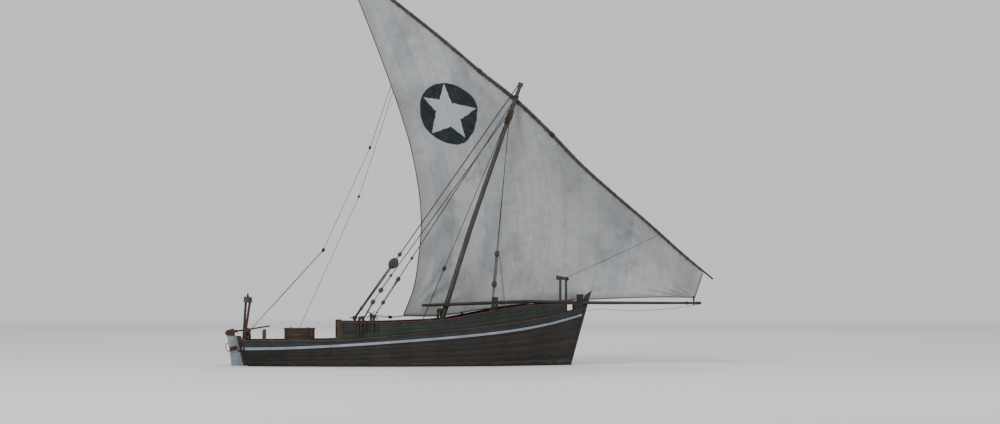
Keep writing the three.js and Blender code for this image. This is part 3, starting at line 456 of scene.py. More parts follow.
# %% Curves and tubes
def mix(a, b, share):
    return a + (b - a) * share


def shares(count):
    return [k / count for k in range(count + 1)]


def smooth(value, low, high):
    share = min(max((value - low) / (high - low), 0), 1)
    return share * share * (3 - 2 * share)


def hermite(s):
    """How much the first point, its slope, the second point and its slope count."""
    return 2 * s**3 - 3 * s**2 + 1, s**3 - 2 * s**2 + s, 3 * s**2 - 2 * s**3, s**3 - s**2


def fair(table, at):
    """A smooth value from a table of (place, value) rows."""
    last = len(table) - 1
    i = 0
    while i < last - 1 and at > table[i + 1][0]:
        i += 1

    def slope(k):
        low, high = table[max(k - 1, 0)], table[min(k + 1, last)]
        return (high[1] - low[1]) / (high[0] - low[0])

    span = table[i + 1][0] - table[i][0]
    keep, start, gain, end = hermite(min(max((at - table[i][0]) / span, 0), 1))
    level = keep * table[i][1] + gain * table[i + 1][1]
    return level + start * span * slope(i) + end * span * slope(i + 1)


def through(points, share):
    """A point of the centripetal curve through some points, at a share of their count."""
    place = share * (len(points) - 1)
    i = min(int(place), len(points) - 2)
    a, b = points[i], points[i + 1]
    before = points[i - 1] if i > 0 else 2 * points[0] - points[1]
    after = points[i + 2] if i < len(points) - 2 else 2 * points[-1] - points[-2]
    d0, d1, d2 = ((q - p).length ** 0.5 for p, q in ((before, a), (a, b), (b, after)))
    slope_a = ((a - before) / d0 - (b - before) / (d0 + d1) + (b - a) / d1) * d1
    slope_b = ((b - a) / d1 - (after - a) / (d1 + d2) + (after - b) / d2) * d1
    keep, start, gain, end = hermite(place - i)
    return keep * a + start * slope_a + gain * b + end * slope_b


def between(table, value):
    """The straight-line values of a table's other columns at a value of its first one."""
    k = max(k for k in range(len(table) - 1) if table[k][0] <= value or k == 0)
    low, high = table[k], table[k + 1]
    return [mix(a, b, (value - low[0]) / (high[0] - low[0])) for a, b in zip(low[1:], high[1:])]


def evenly(points, step):
    """The points of a path with more between them, at most a step apart."""
    path = [Vector(points[0])]
    for a, b in zip(points, points[1:]):
        a, b = Vector(a), Vector(b)
        count = max(1, math.ceil((b - a).length / step))
        path += [a.lerp(b, k / count) for k in range(1, count + 1)]
    return path


def grid_of(bm, columns, rows, place):
    """Puts a grid's corners where a function of column and row says. Returns each face's first ones."""
    verts = bmesh.ops.create_grid(bm, x_segments=columns, y_segments=rows, size=1)["verts"]
    spots = {v: (round((v.co.x + 1) / 2 * columns), round((v.co.y + 1) / 2 * rows)) for v in verts}
    cells = {f: tuple(min(spots[v][k] for v in f.verts) for k in (0, 1)) for f in faces_of(verts)}
    for vert, (i, j) in spots.items():
        vert.co = place(i, j)
    return cells, spots


def tube(bm, path, radii, sides=8, finish=0, section=(1, 1), up=Z_WAY, closed=False):
    """Rolls a grid into a tube along a path. A section stretches it across and up."""
    path = [Vector(p) for p in path]
    last = len(path) - 1
    if not isinstance(radii, list):
        radii = [radii] * (last + 1)
    uv = bm.loops.layers.uv.get("around_and_along") or bm.loops.layers.uv.new("around_and_along")
    lengths = [0.0]
    for a, b in zip(path, path[1:]):
        lengths.append(lengths[-1] + (b - a).length)
    tangents = []
    for k in range(last + 1):
        ahead, behind = path[min(k + 1, last)], path[max(k - 1, 0)]
        if closed and k in (0, last):
            ahead, behind = path[1], path[-2]
        tangents.append((ahead - behind).normalized())
    side = Vector(up).cross(tangents[0])
    if side.length < 1e-4:
        side = Y_WAY.cross(tangents[0])
    sections = []
    for tangent in tangents:
        side = (side - tangent * side.dot(tangent)).normalized()
        sections.append((side * section[0], tangent.cross(side) * section[1]))
    girth = max(2 * math.pi * max(radii), 0.001)

    def on_tube(i, j):
        turn = 2 * math.pi * i / sides
        across, upward = sections[j]
        return path[j] + (across * math.cos(turn) + upward * math.sin(turn)) * radii[j]

    cells, spots = grid_of(bm, sides, last, on_tube)
    for face in cells:
        face.material_index = finish
        for loop in face.loops:
            i, j = spots[loop.vert]
            loop[uv].uv = (i / sides, lengths[j] / girth)
    bmesh.ops.remove_doubles(bm, verts=list(spots), dist=0.00002)
    faces = [face for face in cells if face.is_valid]
    if not closed:
        rims = [edge for edge in edges_of(v for v in spots if v.is_valid) if edge.is_boundary]
        caps = bmesh.ops.edgeloop_fill(bm, edges=rims, mat_nr=finish, use_smooth=True)["faces"]
        bmesh.ops.recalc_face_normals(bm, faces=faces + caps)


def line(bm, a, b, radius, sides=8, step=0.4):
    """A straight rope between two places."""
    tube(bm, evenly([a, b], step), radius, sides)


def side_by_side(bm, a, b, shifts, radius, start=X_WAY, end=X_WAY):
    """Ropes that run together between two places, each shifted a little at either end."""
    for shift in shifts:
        line(bm, a + Vector(start) * shift, b + Vector(end) * shift, radius)


def winding(centre, axis, reach, turns, pitch, steps=18, start=0.0, lift=1.0):
    """Points of a rope wound round an axis. A lift above 1 makes the turns oval along Y."""
    axis = Vector(axis).normalized()
    across = (Y_WAY - axis * axis.y).normalized()
    other = axis.cross(across)
    path = []
    for k in range(int(turns * steps) + 1):
        turn = start + 2 * math.pi * k / steps
        spot = Vector(centre) + axis * ((k / steps - turns / 2) * pitch)
        path.append(spot + across * (math.cos(turn) * reach * lift) + other * (math.sin(turn) * reach))
    return path


print("curves ready")

# %% [markdown]
# ## The shape of the hull
# The hull is described by the half-breadths and heights of eight sections between the transom
# and the stem. A point on it has a station, which runs fore and aft, and a row, which runs from
# the keel up to the rail. Planks, frames and stripes are all laid out in stations and rows.

# %% Points on the hull
SECTIONS = [
    # along, bilge, water, wale and rail half-breadths, wale middle, rail height
    (0.0, 0.150, 0.700, 1.330, 1.390, 0.675, 0.935),
    (0.12, 0.640, 1.240, 1.590, 1.630, 0.700, 0.935),
    (0.3, 1.120, 1.660, 1.890, 1.920, 0.808, 0.970),
    (0.5, 1.250, 1.790, 2.010, 2.040, 0.980, 1.200),
    (0.68, 1.060, 1.600, 1.910, 1.950, 1.170, 1.420),
    (0.82, 0.610, 1.110, 1.520, 1.600, 1.387, 1.650),
    (0.92, 0.260, 0.530, 0.880, 0.970, 1.630, 1.885),
    (1.0, 0.128, 0.128, 0.128, 0.130, 1.910, 2.140),
]
COLUMNS = 24
PLANK = 0.05
KEEL_SIDE, KEEL_TOP, BILGE_Z = 0.0803, -0.8, -0.45
HALF_WALE, WALE_STEP = 0.045, 0.008
TRANSOM_X, TRANSOM_RAKE = -6.34, 0.23
ROW_PLACES = [k / 15 for k in range(10)] + [0.8, 0.9, 1.0]
RAIL_ROW = 12
WALE_ROW = 9
WATER_ROW = 6


def stem_lead(z):
    """How far forward the stem reaches at a height. Its forefoot is a quarter of an ellipse."""
    if z >= -0.3:
        return 5.87 + 0.27 * z
    drop = min((-0.3 - z) / 0.8, 1)
    return mix(5.789, 5.15, 1 - math.sqrt(max(1 - drop * drop, 0)))


def section(along):
    column = [fair([(row[0], row[k]) for row in SECTIONS], along) for k in range(1, 7)]
    bilge, water, wale, rail, wale_z, rail_z = column
    return [
        Vector((0, KEEL_SIDE, KEEL_TOP)),
        Vector((0, bilge, BILGE_Z)),
        Vector((0, water, 0)),
        Vector((0, wale - WALE_STEP, wale_z - HALF_WALE)),
        Vector((0, wale, wale_z + HALF_WALE)),
        Vector((0, rail, rail_z)),
    ]


def hull_point(station, row, offset=0.0, side=1):
    """A point on the planking, or inside it where the offset is negative."""
    points = section(station / COLUMNS)
    low = min(int(row), RAIL_ROW - 1)
    place = mix(ROW_PLACES[low], ROW_PLACES[low + 1], row - low)
    spot = through(points, place)
    step = through(points, min(place + 0.004, 1)) - through(points, max(place - 0.004, 0))
    step.normalize()
    z = spot.z - step.y * offset
    y = max(spot.y + step.z * offset, KEEL_SIDE)
    x = mix(TRANSOM_X - TRANSOM_RAKE * z, stem_lead(z) - 0.11, station / COLUMNS)
    return Vector((x, side * y, z))


def halving(high, too_low, times):
    """Two places, from zero and a number, that close in on where a test stops being true."""
    low, high = 0.0, float(high)
    for _ in range(times):
        middle = (low + high) / 2
        if too_low(middle):
            low = middle
        else:
            high = middle
    return low, high


def station_at(x, row=RAIL_ROW):
    return sum(halving(COLUMNS, lambda station: hull_point(station, row).x < x, 30)) / 2


def shell_at(x, z, offset=0.0):
    """Half-breadth of the planking at a place along the boat and a height."""
    row, _ = halving(RAIL_ROW, lambda row: hull_point(station_at(x, row), row, offset).z < z, 24)
    return hull_point(station_at(x, row), row, offset).y


def rail_at(x, side=1):
    """The planking's upper edge at a place along the boat."""
    return hull_point(station_at(x), RAIL_ROW, 0, side)


print("amidships rail at", [round(v, 3) for v in hull_point(COLUMNS / 2, RAIL_ROW)])

# %% [markdown]
# ## Planks
# The shell of planks is one grid for the outside, one for the inside, and a bridge between their
# edges. The outside is then parted into planks with staggered butts. Insetting each plank by a
# few millimetres leaves a seam of pitch round it, and each plank gets its own slight tone.

# %% Helpers for planks
TONE_RANGE = 0.22


def part_planks(bm, groups, gap, lift):
    """Gives each group of faces a seam of the second finish round it and a tone of its own."""
    tone = bm.faces.layers.float["plank_tone"]
    owner = {f: k for k, faces in enumerate(groups) for f in faces}
    shared = [
        e for e in bm.edges
        if len({owner.get(f, -1) for f in e.link_faces}) > 1 and any(f in owner for f in e.link_faces)
    ]
    bmesh.ops.split_edges(bm, edges=shared)
    for faces in groups:
        shade = rng.uniform(-TONE_RANGE, TONE_RANGE)
        for face in faces:
            face[tone] = shade
    made = bmesh.ops.inset_region(
        bm, faces=list(owner), use_boundary=True, use_even_offset=True, thickness=gap, depth=lift
    )
    for face in made["faces"]:
        face.material_index = 1


def close_shell(bm):
    """Joins the rims of an outer and an inner sheet."""
    bmesh.ops.bridge_loops(bm, edges=[e for e in bm.edges if e.is_boundary])
    bmesh.ops.recalc_face_normals(bm, faces=bm.faces)


# %% Hull planking
COLUMN_PARTS = 2  # columns of the mesh in each station
PLANK_COLUMNS = 18
BUTT_STARTS = (6, 17)  # how far each row of planks is shifted, in columns
SEAM = 0.006


def planking(side, word):
    rows = [k / 2 for k in range(2 * WALE_ROW + 1)] + [10, 11, 12]
    bm = bmesh.new()
    bm.faces.layers.float.new("plank_tone")
    sheets = []
    for offset in (0.0, -PLANK):
        cells, _ = grid_of(
            bm, COLUMNS * COLUMN_PARTS, len(rows) - 1,
            lambda i, j: hull_point(i / COLUMN_PARTS, rows[j], offset, side),
        )
        if (offset < 0) == (side < 0):
            bmesh.ops.reverse_faces(bm, faces=list(cells))
        sheets.append(cells)
    close_shell(bm)
    for inner, cells in enumerate(sheets):
        starts = {}
        groups = {}
        for face, (i, j) in cells.items():
            start = starts.setdefault(j, rng.randint(*BUTT_STARTS))
            groups.setdefault((j, (i + start) // PLANK_COLUMNS), []).append(face)
            painted = rows[j] > WALE_ROW + 0.5
            face.material_index = 3 if inner else (2 if painted else 0)
        part_planks(bm, list(groups.values()), SEAM, 0.003 if inner else 0.004)
    return make_piece(
        f"planks_{word}", bm, "hull", [TARRED, PITCH, TOPSIDE, INNER_WOOD], node=f"planking_{word}"
    )


for side, word in SIDES:
    print("planks", word, len(planking(side, word).data.polygons), "faces")

# %% [markdown]
# ## Boards on flat timbers
# Decks, the transom, the bow boards and the locker are flat or gently curved slabs. Cutting a
# copy of each with evenly spaced planes parts it into boards, and the boards get seams in the
# same way as the planks. The raised washboards follow the rail, so they are grids like the planks.

# %% Boarded slabs
def boarded(node, name, finish, facing, cut, width, body="hull", gap=0.004):
    """Parts the faces of a node that look along given ways into boards of one width."""
    bm = copy_of(node, 0.5)
    cut = Vector(cut).normalized()
    heights = [cut.dot(v.co) for v in bm.verts]
    low, high = min(heights), max(heights)
    place = low
    marks = []
    while place < high:
        place += width
        if low + 0.02 < place < high - 0.02:
            marks.append(place)
            geometry = bm.verts[:] + bm.edges[:] + bm.faces[:]
            bmesh.ops.bisect_plane(bm, geom=geometry, dist=0.0001, plane_co=cut * place, plane_no=cut)
    bm.normal_update()
    groups = {}
    for face in bm.faces:
        way = next((k for k, look in enumerate(facing) if face.normal.dot(Vector(look)) > 0.8), None)
        if way is not None and face.calc_area() > 0.0004:
            board = sum(face.calc_center_median().dot(cut) > mark for mark in marks)
            groups.setdefault((way, board), []).append(face)
    part_planks(bm, list(groups.values()), gap, 0.003)
    make_piece(name, bm, body, [finish, PITCH], node=node)


ALL_ROUND = [X_WAY, -X_WAY, Y_WAY, -Y_WAY]
boarded("aft_deck", "aft_deck_boards", DECK_WOOD, [Z_WAY], Y_WAY, 0.17)
boarded("fore_deck", "fore_deck_boards", DECK_WOOD, [Z_WAY], Y_WAY, 0.17)
boarded("hold_floor", "hold_floor_boards", FLOOR_WOOD, [Z_WAY], Y_WAY, 0.2)
boarded("transom", "transom_boards", TARRED, [(-1, 0, -0.2), (1, 0, 0.2)], Z_WAY, 0.19, gap=SEAM)
boarded("deck_locker", "locker_boards", BROWN_TIMBER, ALL_ROUND, Z_WAY, 0.165)
boarded("locker_lid", "locker_lid_boards", BROWN_TIMBER, [Z_WAY], Y_WAY, 0.18, "lid")
for side, word in SIDES:
    name = f"bow_board_boards_{word}"
    boarded(f"bow_board_{word}", name, WASHBOARD_PAINT, [Y_WAY * side, -Y_WAY * side], (-0.27, 0, 1), 0.17)

# %% Washboards
WASHBOARD_TOP = [
    (-3.2, 1.68), (-1.6, 1.665), (0.0, 1.715), (1.06, 1.795),
    (2.45, 2.05), (3.51, 2.225), (4.56, 2.325), (6.0, 2.35),
]
WASHBOARD_ENDS = (-2.83, 5.61)
WASHBOARD_COLUMNS, BOARD_ROWS, BOARD_COLUMNS = 44, 3, 15
MOST_SHIFT = 13
BOARD_THICK = 0.04
FLARE = 0.12  # outwards for each metre of height
CAP_TOP = 0.05  # above the planking's edge


def washboard(side, word):
    """Three boards high between the cap rail and the capping, flared a little outwards."""
    bm = bmesh.new()
    bm.faces.layers.float.new("plank_tone")
    bm.faces.layers.float.new("rubbed")
    start, end = (station_at(x) for x in WASHBOARD_ENDS)

    def on_board(i, j, reach):
        foot = hull_point(mix(start, end, i / WASHBOARD_COLUMNS), RAIL_ROW)
        low, high = foot.z + CAP_TOP, fair(WASHBOARD_TOP, foot.x) - 0.045
        z = mix(low, high, j / BOARD_ROWS)
        return Vector((foot.x, side * (foot.y + (z - low) * FLARE + reach), z))

    sheets = [
        grid_of(bm, WASHBOARD_COLUMNS, BOARD_ROWS, lambda i, j: on_board(i, j, reach))[0]
        for reach in (0.0, -BOARD_THICK)
    ]
    close_shell(bm)
    for inner, cells in enumerate(sheets):
        groups = {}
        starts = [rng.randint(0, MOST_SHIFT) for _ in range(BOARD_ROWS)]
        for face, (i, j) in cells.items():
            face.material_index = 2 if inner else 0
            groups.setdefault((j, (i + starts[j]) // BOARD_COLUMNS), []).append(face)
        part_planks(bm, list(groups.values()), 0.005, 0.003)
    finishes = [WASHBOARD_PAINT, PITCH, INNER_WOOD]
    make_piece(f"washboard_boards_{word}", bm, "hull", finishes, node=f"washboard_{word}")


for side, word in SIDES:
    washboard(side, word)
print("boards cut")

# %% [markdown]
# ## Frames inside the hull
# Sawn frames stand inside the planking about a quarter of a metre apart. They show in the open
# hold and above the decks. Each is a square timber that follows its section from the floor up to
# the rail, with a short stanchion above it that holds the washboard.

# %% Frames and stanchions
HOLD_FLOOR, AFT_DECK, FORE_DECK = -0.34, 0.66, 1.44
HOLD_ENDS = (-2.95, 3.3)
STANCHIONS = (-2.9, 5.5)  # the stretch of the rail that has them
INSIDE = -0.096  # the middle of a frame, from the outside of the planking


def frame_timbers(side, word):
    bm = bmesh.new()
    for station in [k / 2 for k in range(1, 45)]:
        path = [hull_point(station, step / 4, INSIDE, side) for step in range(4 * RAIL_ROW + 1)]
        path = [spot for spot in path if spot.z > HOLD_FLOOR and abs(spot.y) > 0.12]
        x = path[-1].x
        foot_z = AFT_DECK if x < HOLD_ENDS[0] else FORE_DECK if x > HOLD_ENDS[1] else HOLD_FLOOR
        path = [spot for spot in path if spot.z > foot_z]
        if len(path) > 2:
            tube(bm, path, 0.062, 4, section=(0.9, 1.0), up=X_WAY)
        if STANCHIONS[0] < x < STANCHIONS[1]:
            foot = hull_point(station, RAIL_ROW, 0, side) + Vector((0, -side * 0.075, 0.053))
            tall = fair(WASHBOARD_TOP, x) - 0.048 - foot.z
            top = foot + Vector((0, side * FLARE * tall, tall))
            tube(bm, [foot, top], 0.046, 4, section=(0.9, 0.9), up=Y_WAY)
    return make_piece(f"frames_{word}", bm, "hull", BROWN_TIMBER, 30)


for side, word in SIDES:
    print("frames", word, len(frame_timbers(side, word).data.polygons))

# %% [markdown]
# ## Mast, yard and bowsprit
# The spars are trunks shaped by hand, so they stay round but not perfectly so. Each is a tube
# with more sides than the solid has and with slow swells along it. The yard is two poles lashed
# side by side, the lower one to starboard and the upper one to port.

# %% Spars
MAST = [
    # height, place, radius
    (-0.6, 0.228, 0.105), (1.5, 0.877, 0.102), (3.4, 1.465, 0.097), (5.05, 1.983, 0.095),
    (6.67, 2.537, 0.091), (8.1, 3.038, 0.084), (10.129, 3.751, 0.075), (10.64, 3.930, 0.068),
]
SPRIT = [
    # place, height, radius
    (0.18, 2.275, 0.052), (1.18, 2.31, 0.06), (4.1, 2.415, 0.066), (7.0, 2.365, 0.062), (10.86, 2.355, 0.044),
]
YARD_POINTS = [
    (11.3, 3.27), (10.09, 4.267), (8.9, 5.337), (7.6, 6.448), (6.3, 7.603), (5.03, 8.916), (3.751, 10.129),
    (2.4, 11.206), (1.0, 12.409), (-1.3, 14.226), (-3.6, 16.05),
]
SLING_AT = Vector((3.751, 0.1803, 10.129))
TACK = Vector((10.61, -0.13, 2.572))
YARD_TURN = (TACK.y - SLING_AT.y) / (TACK.x - SLING_AT.x)
YARD = [Vector((x, SLING_AT.y + YARD_TURN * (x - SLING_AT.x), z)) for x, z in YARD_POINTS]
LOWER_R = [(0, 0.034), (0.1, 0.05), (0.3, 0.058), (0.6, 0.075), (0.74, 0.06)]
UPPER_R = [(0.44, 0.058), (0.6, 0.075), (0.8, 0.066), (0.9, 0.057), (1, 0.03)]
LOWER_END = 0.74
UPPER_START = 0.44
MASTHEAD, BELOW_HEAD = 10.64, 10.6


def mast_at(z):
    x, radius = between(MAST, z)
    return Vector((x, 0, z)), radius


def sprit_at(x):
    z, radius = between(SPRIT, x)
    return Vector((x, mix(-0.16, -0.13, (x - 1.18) / 9.68), z)), radius


def yard_along(share):
    return (through(YARD, min(share + 0.002, 1)) - through(YARD, max(share - 0.002, 0))).normalized()


def yard_out(share):
    """The way to port, square to the yard."""
    along = yard_along(share)
    return (Y_WAY - along * along.y).normalized()


def upper_lift(share):
    """How far the upper pole lies out from the yard's line, beside the lower pole or in its place."""
    over = fair(LOWER_R, min(share, LOWER_END)) + fair(UPPER_R, share) + 0.01
    return over * (1 - smooth(share, LOWER_END + 0.04, LOWER_END + 0.18))


def swell(radii, size=0.03):
    phase = rng.uniform(0, 6)
    return [r * (1 + size * math.sin(2.1 * k + phase) * math.sin(0.7 * k)) for k, r in enumerate(radii)]


def barrel(bm, radius, depth, segments, place=Matrix()):
    """A round disc or pin. It lies across the boat until it is placed."""
    lying = Matrix.Rotation(math.pi / 2, 4, "X")
    return bmesh.ops.create_cone(
        bm, cap_ends=True, segments=segments, radius1=radius, radius2=radius, depth=depth,
        matrix=place @ lying,
    )["verts"]


def spar_piece(name, node, path, radii, body, finish, sides=20):
    bm = bmesh.new()
    tube(bm, path, swell(radii), sides)
    bevel(bm, [e for e in bm.edges if any(len(f.verts) > 4 for f in e.link_faces)], 0.008, clamp=False)
    make_piece(name, bm, body, finish, node=node)


heights = [mix(-0.6, MASTHEAD, share) for share in shares(60)]
mast_bm = bmesh.new()
tube(mast_bm, [mast_at(z)[0] for z in heights], swell([mast_at(z)[1] for z in heights]), 24)
MAST_HEAD = mast_at(BELOW_HEAD)[0]
lean = (mast_at(MASTHEAD)[0] - MAST_HEAD).normalized()
head_turn = Z_WAY.rotation_difference(lean).to_matrix().to_4x4()
for y in (-0.057, 0.057):
    cheek = bmesh.ops.create_cube(mast_bm, size=1)["verts"]
    bmesh.ops.scale(mast_bm, verts=cheek, vec=(0.2, 0.066, 0.16))
    lay = Matrix.Translation(MAST_HEAD) @ head_turn @ Matrix.Translation((0, y, 0.08))
    bmesh.ops.transform(mast_bm, verts=cheek, matrix=lay)
    bevel(mast_bm, edges_of(cheek), 0.012, clamp=False)
barrel(mast_bm, 0.075, 0.04, 24, Matrix.Translation(MAST_HEAD + lean * 0.085))
make_piece("mast_trunk", mast_bm, "hull", MAST_WOOD, node="mast")

sprit = [sprit_at(mix(0.18, 10.86, share)) for share in shares(50)]
spar_piece("bowsprit_trunk", "bowsprit", [p for p, _ in sprit], [r for _, r in sprit], "hull", SPRIT_WOOD)
lower = [mix(0, LOWER_END, share) for share in shares(60)]
path = [through(YARD, s) for s in lower]
radii = [fair(LOWER_R, s) for s in lower]
spar_piece("yard_lower_trunk", "yard_lower_pole", path, radii, "sail_rig", YARD_WOOD)
upper = [mix(UPPER_START, 1, share) for share in shares(60)]
path = [through(YARD, s) + yard_out(s) * upper_lift(s) for s in upper]
radii = [fair(UPPER_R, s) for s in upper]
spar_piece("yard_upper_trunk", "yard_upper_pole", path, radii, "sail_rig", YARD_WOOD)
path = evenly([(-6.993, 0, 1.28), (-6.6, 0, 1.34), (-5.56, 0, 1.5)], 0.1)
radii = [mix(0.036, 0.026, share) for share in shares(len(path) - 1)]
spar_piece("tiller_bar", "tiller", path, radii, "rudder", BROWN_TIMBER, 14)
print("spars made")

# %% [markdown]
# ## The sail
# The lateen sail is one sheet of canvas between four edges: the head on the yard, the short luff,
# the foot and the long hollow leech. It is blown to port, deepest in its middle. Each point of
# the grid is moved to its place between the edges, with soft puckers between the ties at the
# head and folds that run out of the two lower corners. One UV map counts its sewn cloths, and
# another measures the painted disc.

# %% Points on the sail
CLEW = Vector((-0.49, 0.95, 1.855))
HEAD_FORE, HEAD_PEAK = 0.03, 0.965
LEECH = [
    (1.855, -0.49), (2.91, -0.09), (4.0, 0.09), (5.3, 0.2), (6.8, 0.09), (8.87, -0.36), (12.12, -1.53),
    (15.9, -3.17),
]
FOOT = [
    (-0.49, 1.855), (1.0, 1.865), (2.45, 2.098), (4.0, 2.305), (5.2, 2.415), (6.5, 2.485), (7.73, 2.541),
    (9.2, 2.58), (10.61, 2.572),
]
BELLY, FOOT_BELLY, LEECH_BELLY = 0.52, 0.25, 0.15
TIES = 46
CLOTH_WIDTH = 0.62
PUCKER, FOLD, BROAD, LUFFING = 0.016, 0.03, 0.02, 0.022


def head_edge(share):
    place = mix(HEAD_FORE, HEAD_PEAK, share)
    lift = upper_lift(place) * smooth(place, LOWER_END, LOWER_END + 0.03) if place > UPPER_START else 0
    return through(YARD, place) + yard_out(place) * lift


def foot_edge(share):
    x = mix(TACK.x, CLEW.x, share)
    return Vector((x, mix(TACK.y, CLEW.y, share) + FOOT_BELLY * math.sin(math.pi * share), fair(FOOT, x)))


def luff_edge(share):
    return head_edge(0).lerp(TACK, share)


PEAK = head_edge(1)
PEAK_MISS = PEAK.x - fair(LEECH, PEAK.z)


def leech_edge(share):
    z = mix(PEAK.z, CLEW.z, share)
    y = mix(PEAK.y, CLEW.y, share) + LEECH_BELLY * math.sin(math.pi * share)
    return Vector((fair(LEECH, z) + PEAK_MISS * (1 - share) ** 6, y, z))


def folds(across, down):
    """Small puckers and folds, as an offset to port in metres."""
    pucker = PUCKER * math.cos(2 * math.pi * across * TIES) * math.exp(-down / 0.035)
    fold = 0.0
    for corner in (0.0, 1.0):
        du, dv = (across - corner) * 1.4, down - 1
        turn = math.atan2(abs(du), -dv + 1e-6)
        fold += FOLD * math.sin(turn * 17 + corner * 2) * math.exp(-((math.hypot(du, dv) - 0.16) ** 2) / 0.02)
    edge = min(across, 1 - across, down, 1 - down)
    broad = BROAD * math.sin(9 * across + 4 * down) * math.sin(7 * down + 2) * smooth(edge, 0, 0.15)
    near_leech = math.exp(-((across - 0.97) ** 2) / 0.0009)
    luffing = LUFFING * math.sin(26 * down + 3) * near_leech * smooth(down, 0, 0.1)
    return pucker + (fold + broad) * smooth(edge, 0, 0.05) + luffing * smooth(1 - down, 0, 0.06)


def sail_point(across, down, edges=None):
    """A point of the folded cloth: across runs from the luff to the leech, down from head to foot."""
    if not edges:
        edges = head_edge(across), foot_edge(across), luff_edge(down), leech_edge(down)
    head, foot, luff, leech = edges
    point = head * (1 - down) + foot * down + luff * (1 - across) + leech * across
    point -= head_edge(0) * (1 - across) * (1 - down) + PEAK * across * (1 - down)
    point -= TACK * (1 - across) * down + CLEW * across * down
    point.y += BELLY * math.sin(math.pi * across) * math.sin(math.pi * min(down * 1.05, 1))
    point.y += folds(across, down)
    return point


# %% Sail
SAIL_COLUMNS, SAIL_ROWS = 276, 120
WARP_TURNS = 14
DISC_ACROSS, DISC_UP = (0.9257, 0.053, -1.6452), (0.1552, 0.902, -8.9047)  # shares of x and z, shift


def below_yard(along):
    """The way down from the yard, square to it."""
    way = yard_out(along).cross(yard_along(along)).normalized()
    return way if way.z < 0 else -way


def sail_mesh():
    bm = bmesh.new()
    cloth, disc, rim = (bm.loops.layers.uv.new(name) for name in ("cloths", "painted_disc", "sail_share"))
    heads, feet = ([edge(share) for share in shares(SAIL_COLUMNS)] for edge in (head_edge, foot_edge))
    luffs, leeches = ([edge(share) for share in shares(SAIL_ROWS)] for edge in (luff_edge, leech_edge))

    def on_cloth(i, j):
        j = SAIL_ROWS - j
        spot = sail_point(i / SAIL_COLUMNS, j / SAIL_ROWS, (heads[i], feet[i], luffs[j], leeches[j]))
        if j == 0:
            along = mix(HEAD_FORE, HEAD_PEAK, i / SAIL_COLUMNS)
            radius = fair(UPPER_R if along > LOWER_END else LOWER_R, along)
            spot += below_yard(along) * (radius + 0.012)
        return spot

    _, spots = grid_of(bm, SAIL_COLUMNS, SAIL_ROWS, on_cloth)
    for face in bm.faces:
        for loop in face.loops:
            x, z = loop.vert.co.x, loop.vert.co.z
            i, j = spots[loop.vert]
            across, down = i / SAIL_COLUMNS, (SAIL_ROWS - j) / SAIL_ROWS
            loop[cloth].uv = ((x - fair(LEECH, z)) / CLOTH_WIDTH, down * WARP_TURNS)
            loop[disc].uv = [by_x * x + by_z * z + shift for by_x, by_z, shift in (DISC_ACROSS, DISC_UP)]
            loop[rim].uv = (across, down)
    return bm


sail_bm = sail_mesh()
SAIL_AREA = sum(face.calc_area() for face in sail_bm.faces)
print("sail area", round(SAIL_AREA, 2))

# %% [markdown]
# ## Canvas and the painted star
# Old sailcloth is a weathered grey-white. The base grey here is kept darker and bluer than that,
# as painted shade for a sail that stands against the light. The sewn cloths run parallel to the
# leech, each a slightly different tone, with a doubled seam between them. Rain and salt leave soft
# stains, and the edges are grimy from the ropes. The dark disc and its five-point star are painted
# on the cloth, so they wear with it. Both are drawn by distance: a ramp over the angle gives how far
# the disc or the star reaches there, and a point inside that reach is painted.

# %% Canvas finish
DISC_RADII = [
    # angle from straight up in degrees, radius
    (-180, 1.08), (-160, 1.07), (-145, 1.07), (-126, 1.08), (-110, 1.03), (-95, 0.99), (-70, 0.98),
    (-41, 0.97), (-6, 0.98), (17, 1.02), (37, 1.06), (56, 1.12), (72, 1.10), (86, 1.02), (104, 0.99),
    (130, 1.02), (153, 1.09), (169, 1.10), (180, 1.08),
]
STAR_CORNERS = [
    (-6, 0.96), (24, 0.35), (73, 1.04), (113, 0.45), (143.6, 0.95), (172.4, 0.465), (216.2, 1.01),
    (264.7, 0.41), (293.1, 0.93), (325.1, 0.46),
]
STAR_LIMITS, DISC_LIMITS = (0.0, 1.1), (0.9, 1.2)
STAR_SIDE_STOPS = (0.0, 0.35, 0.7)


def star_reach():
    """Angle and radius along the star's straight sides, from straight down right round."""
    spots = [Vector((math.sin(math.radians(a)), math.cos(math.radians(a)))) * r for a, r in STAR_CORNERS]
    sides = []
    for first, second in zip(spots, spots[1:] + spots[:1]):
        for share in STAR_SIDE_STOPS:
            spot = first.lerp(second, share)
            sides.append((math.degrees(math.atan2(spot.x, spot.y)), spot.length))
    sides.sort()
    (first_turn, first_reach), (last_turn, last_reach) = sides[0], sides[-1]
    before, after = 180 - last_turn, 180 + first_turn
    below = (first_reach * before + last_reach * after) / (before + after)
    return [(-180, below)] + sides + [(180, below)]


def reach_of(turn, table, low, high):
    """How far a painted shape reaches at each angle, from a table of angles and radii."""
    stops = [((a + 180) / 360, (r - low) / (high - low)) for a, r in table]
    return turn.ramp(*stops).scaled(high - low, low)


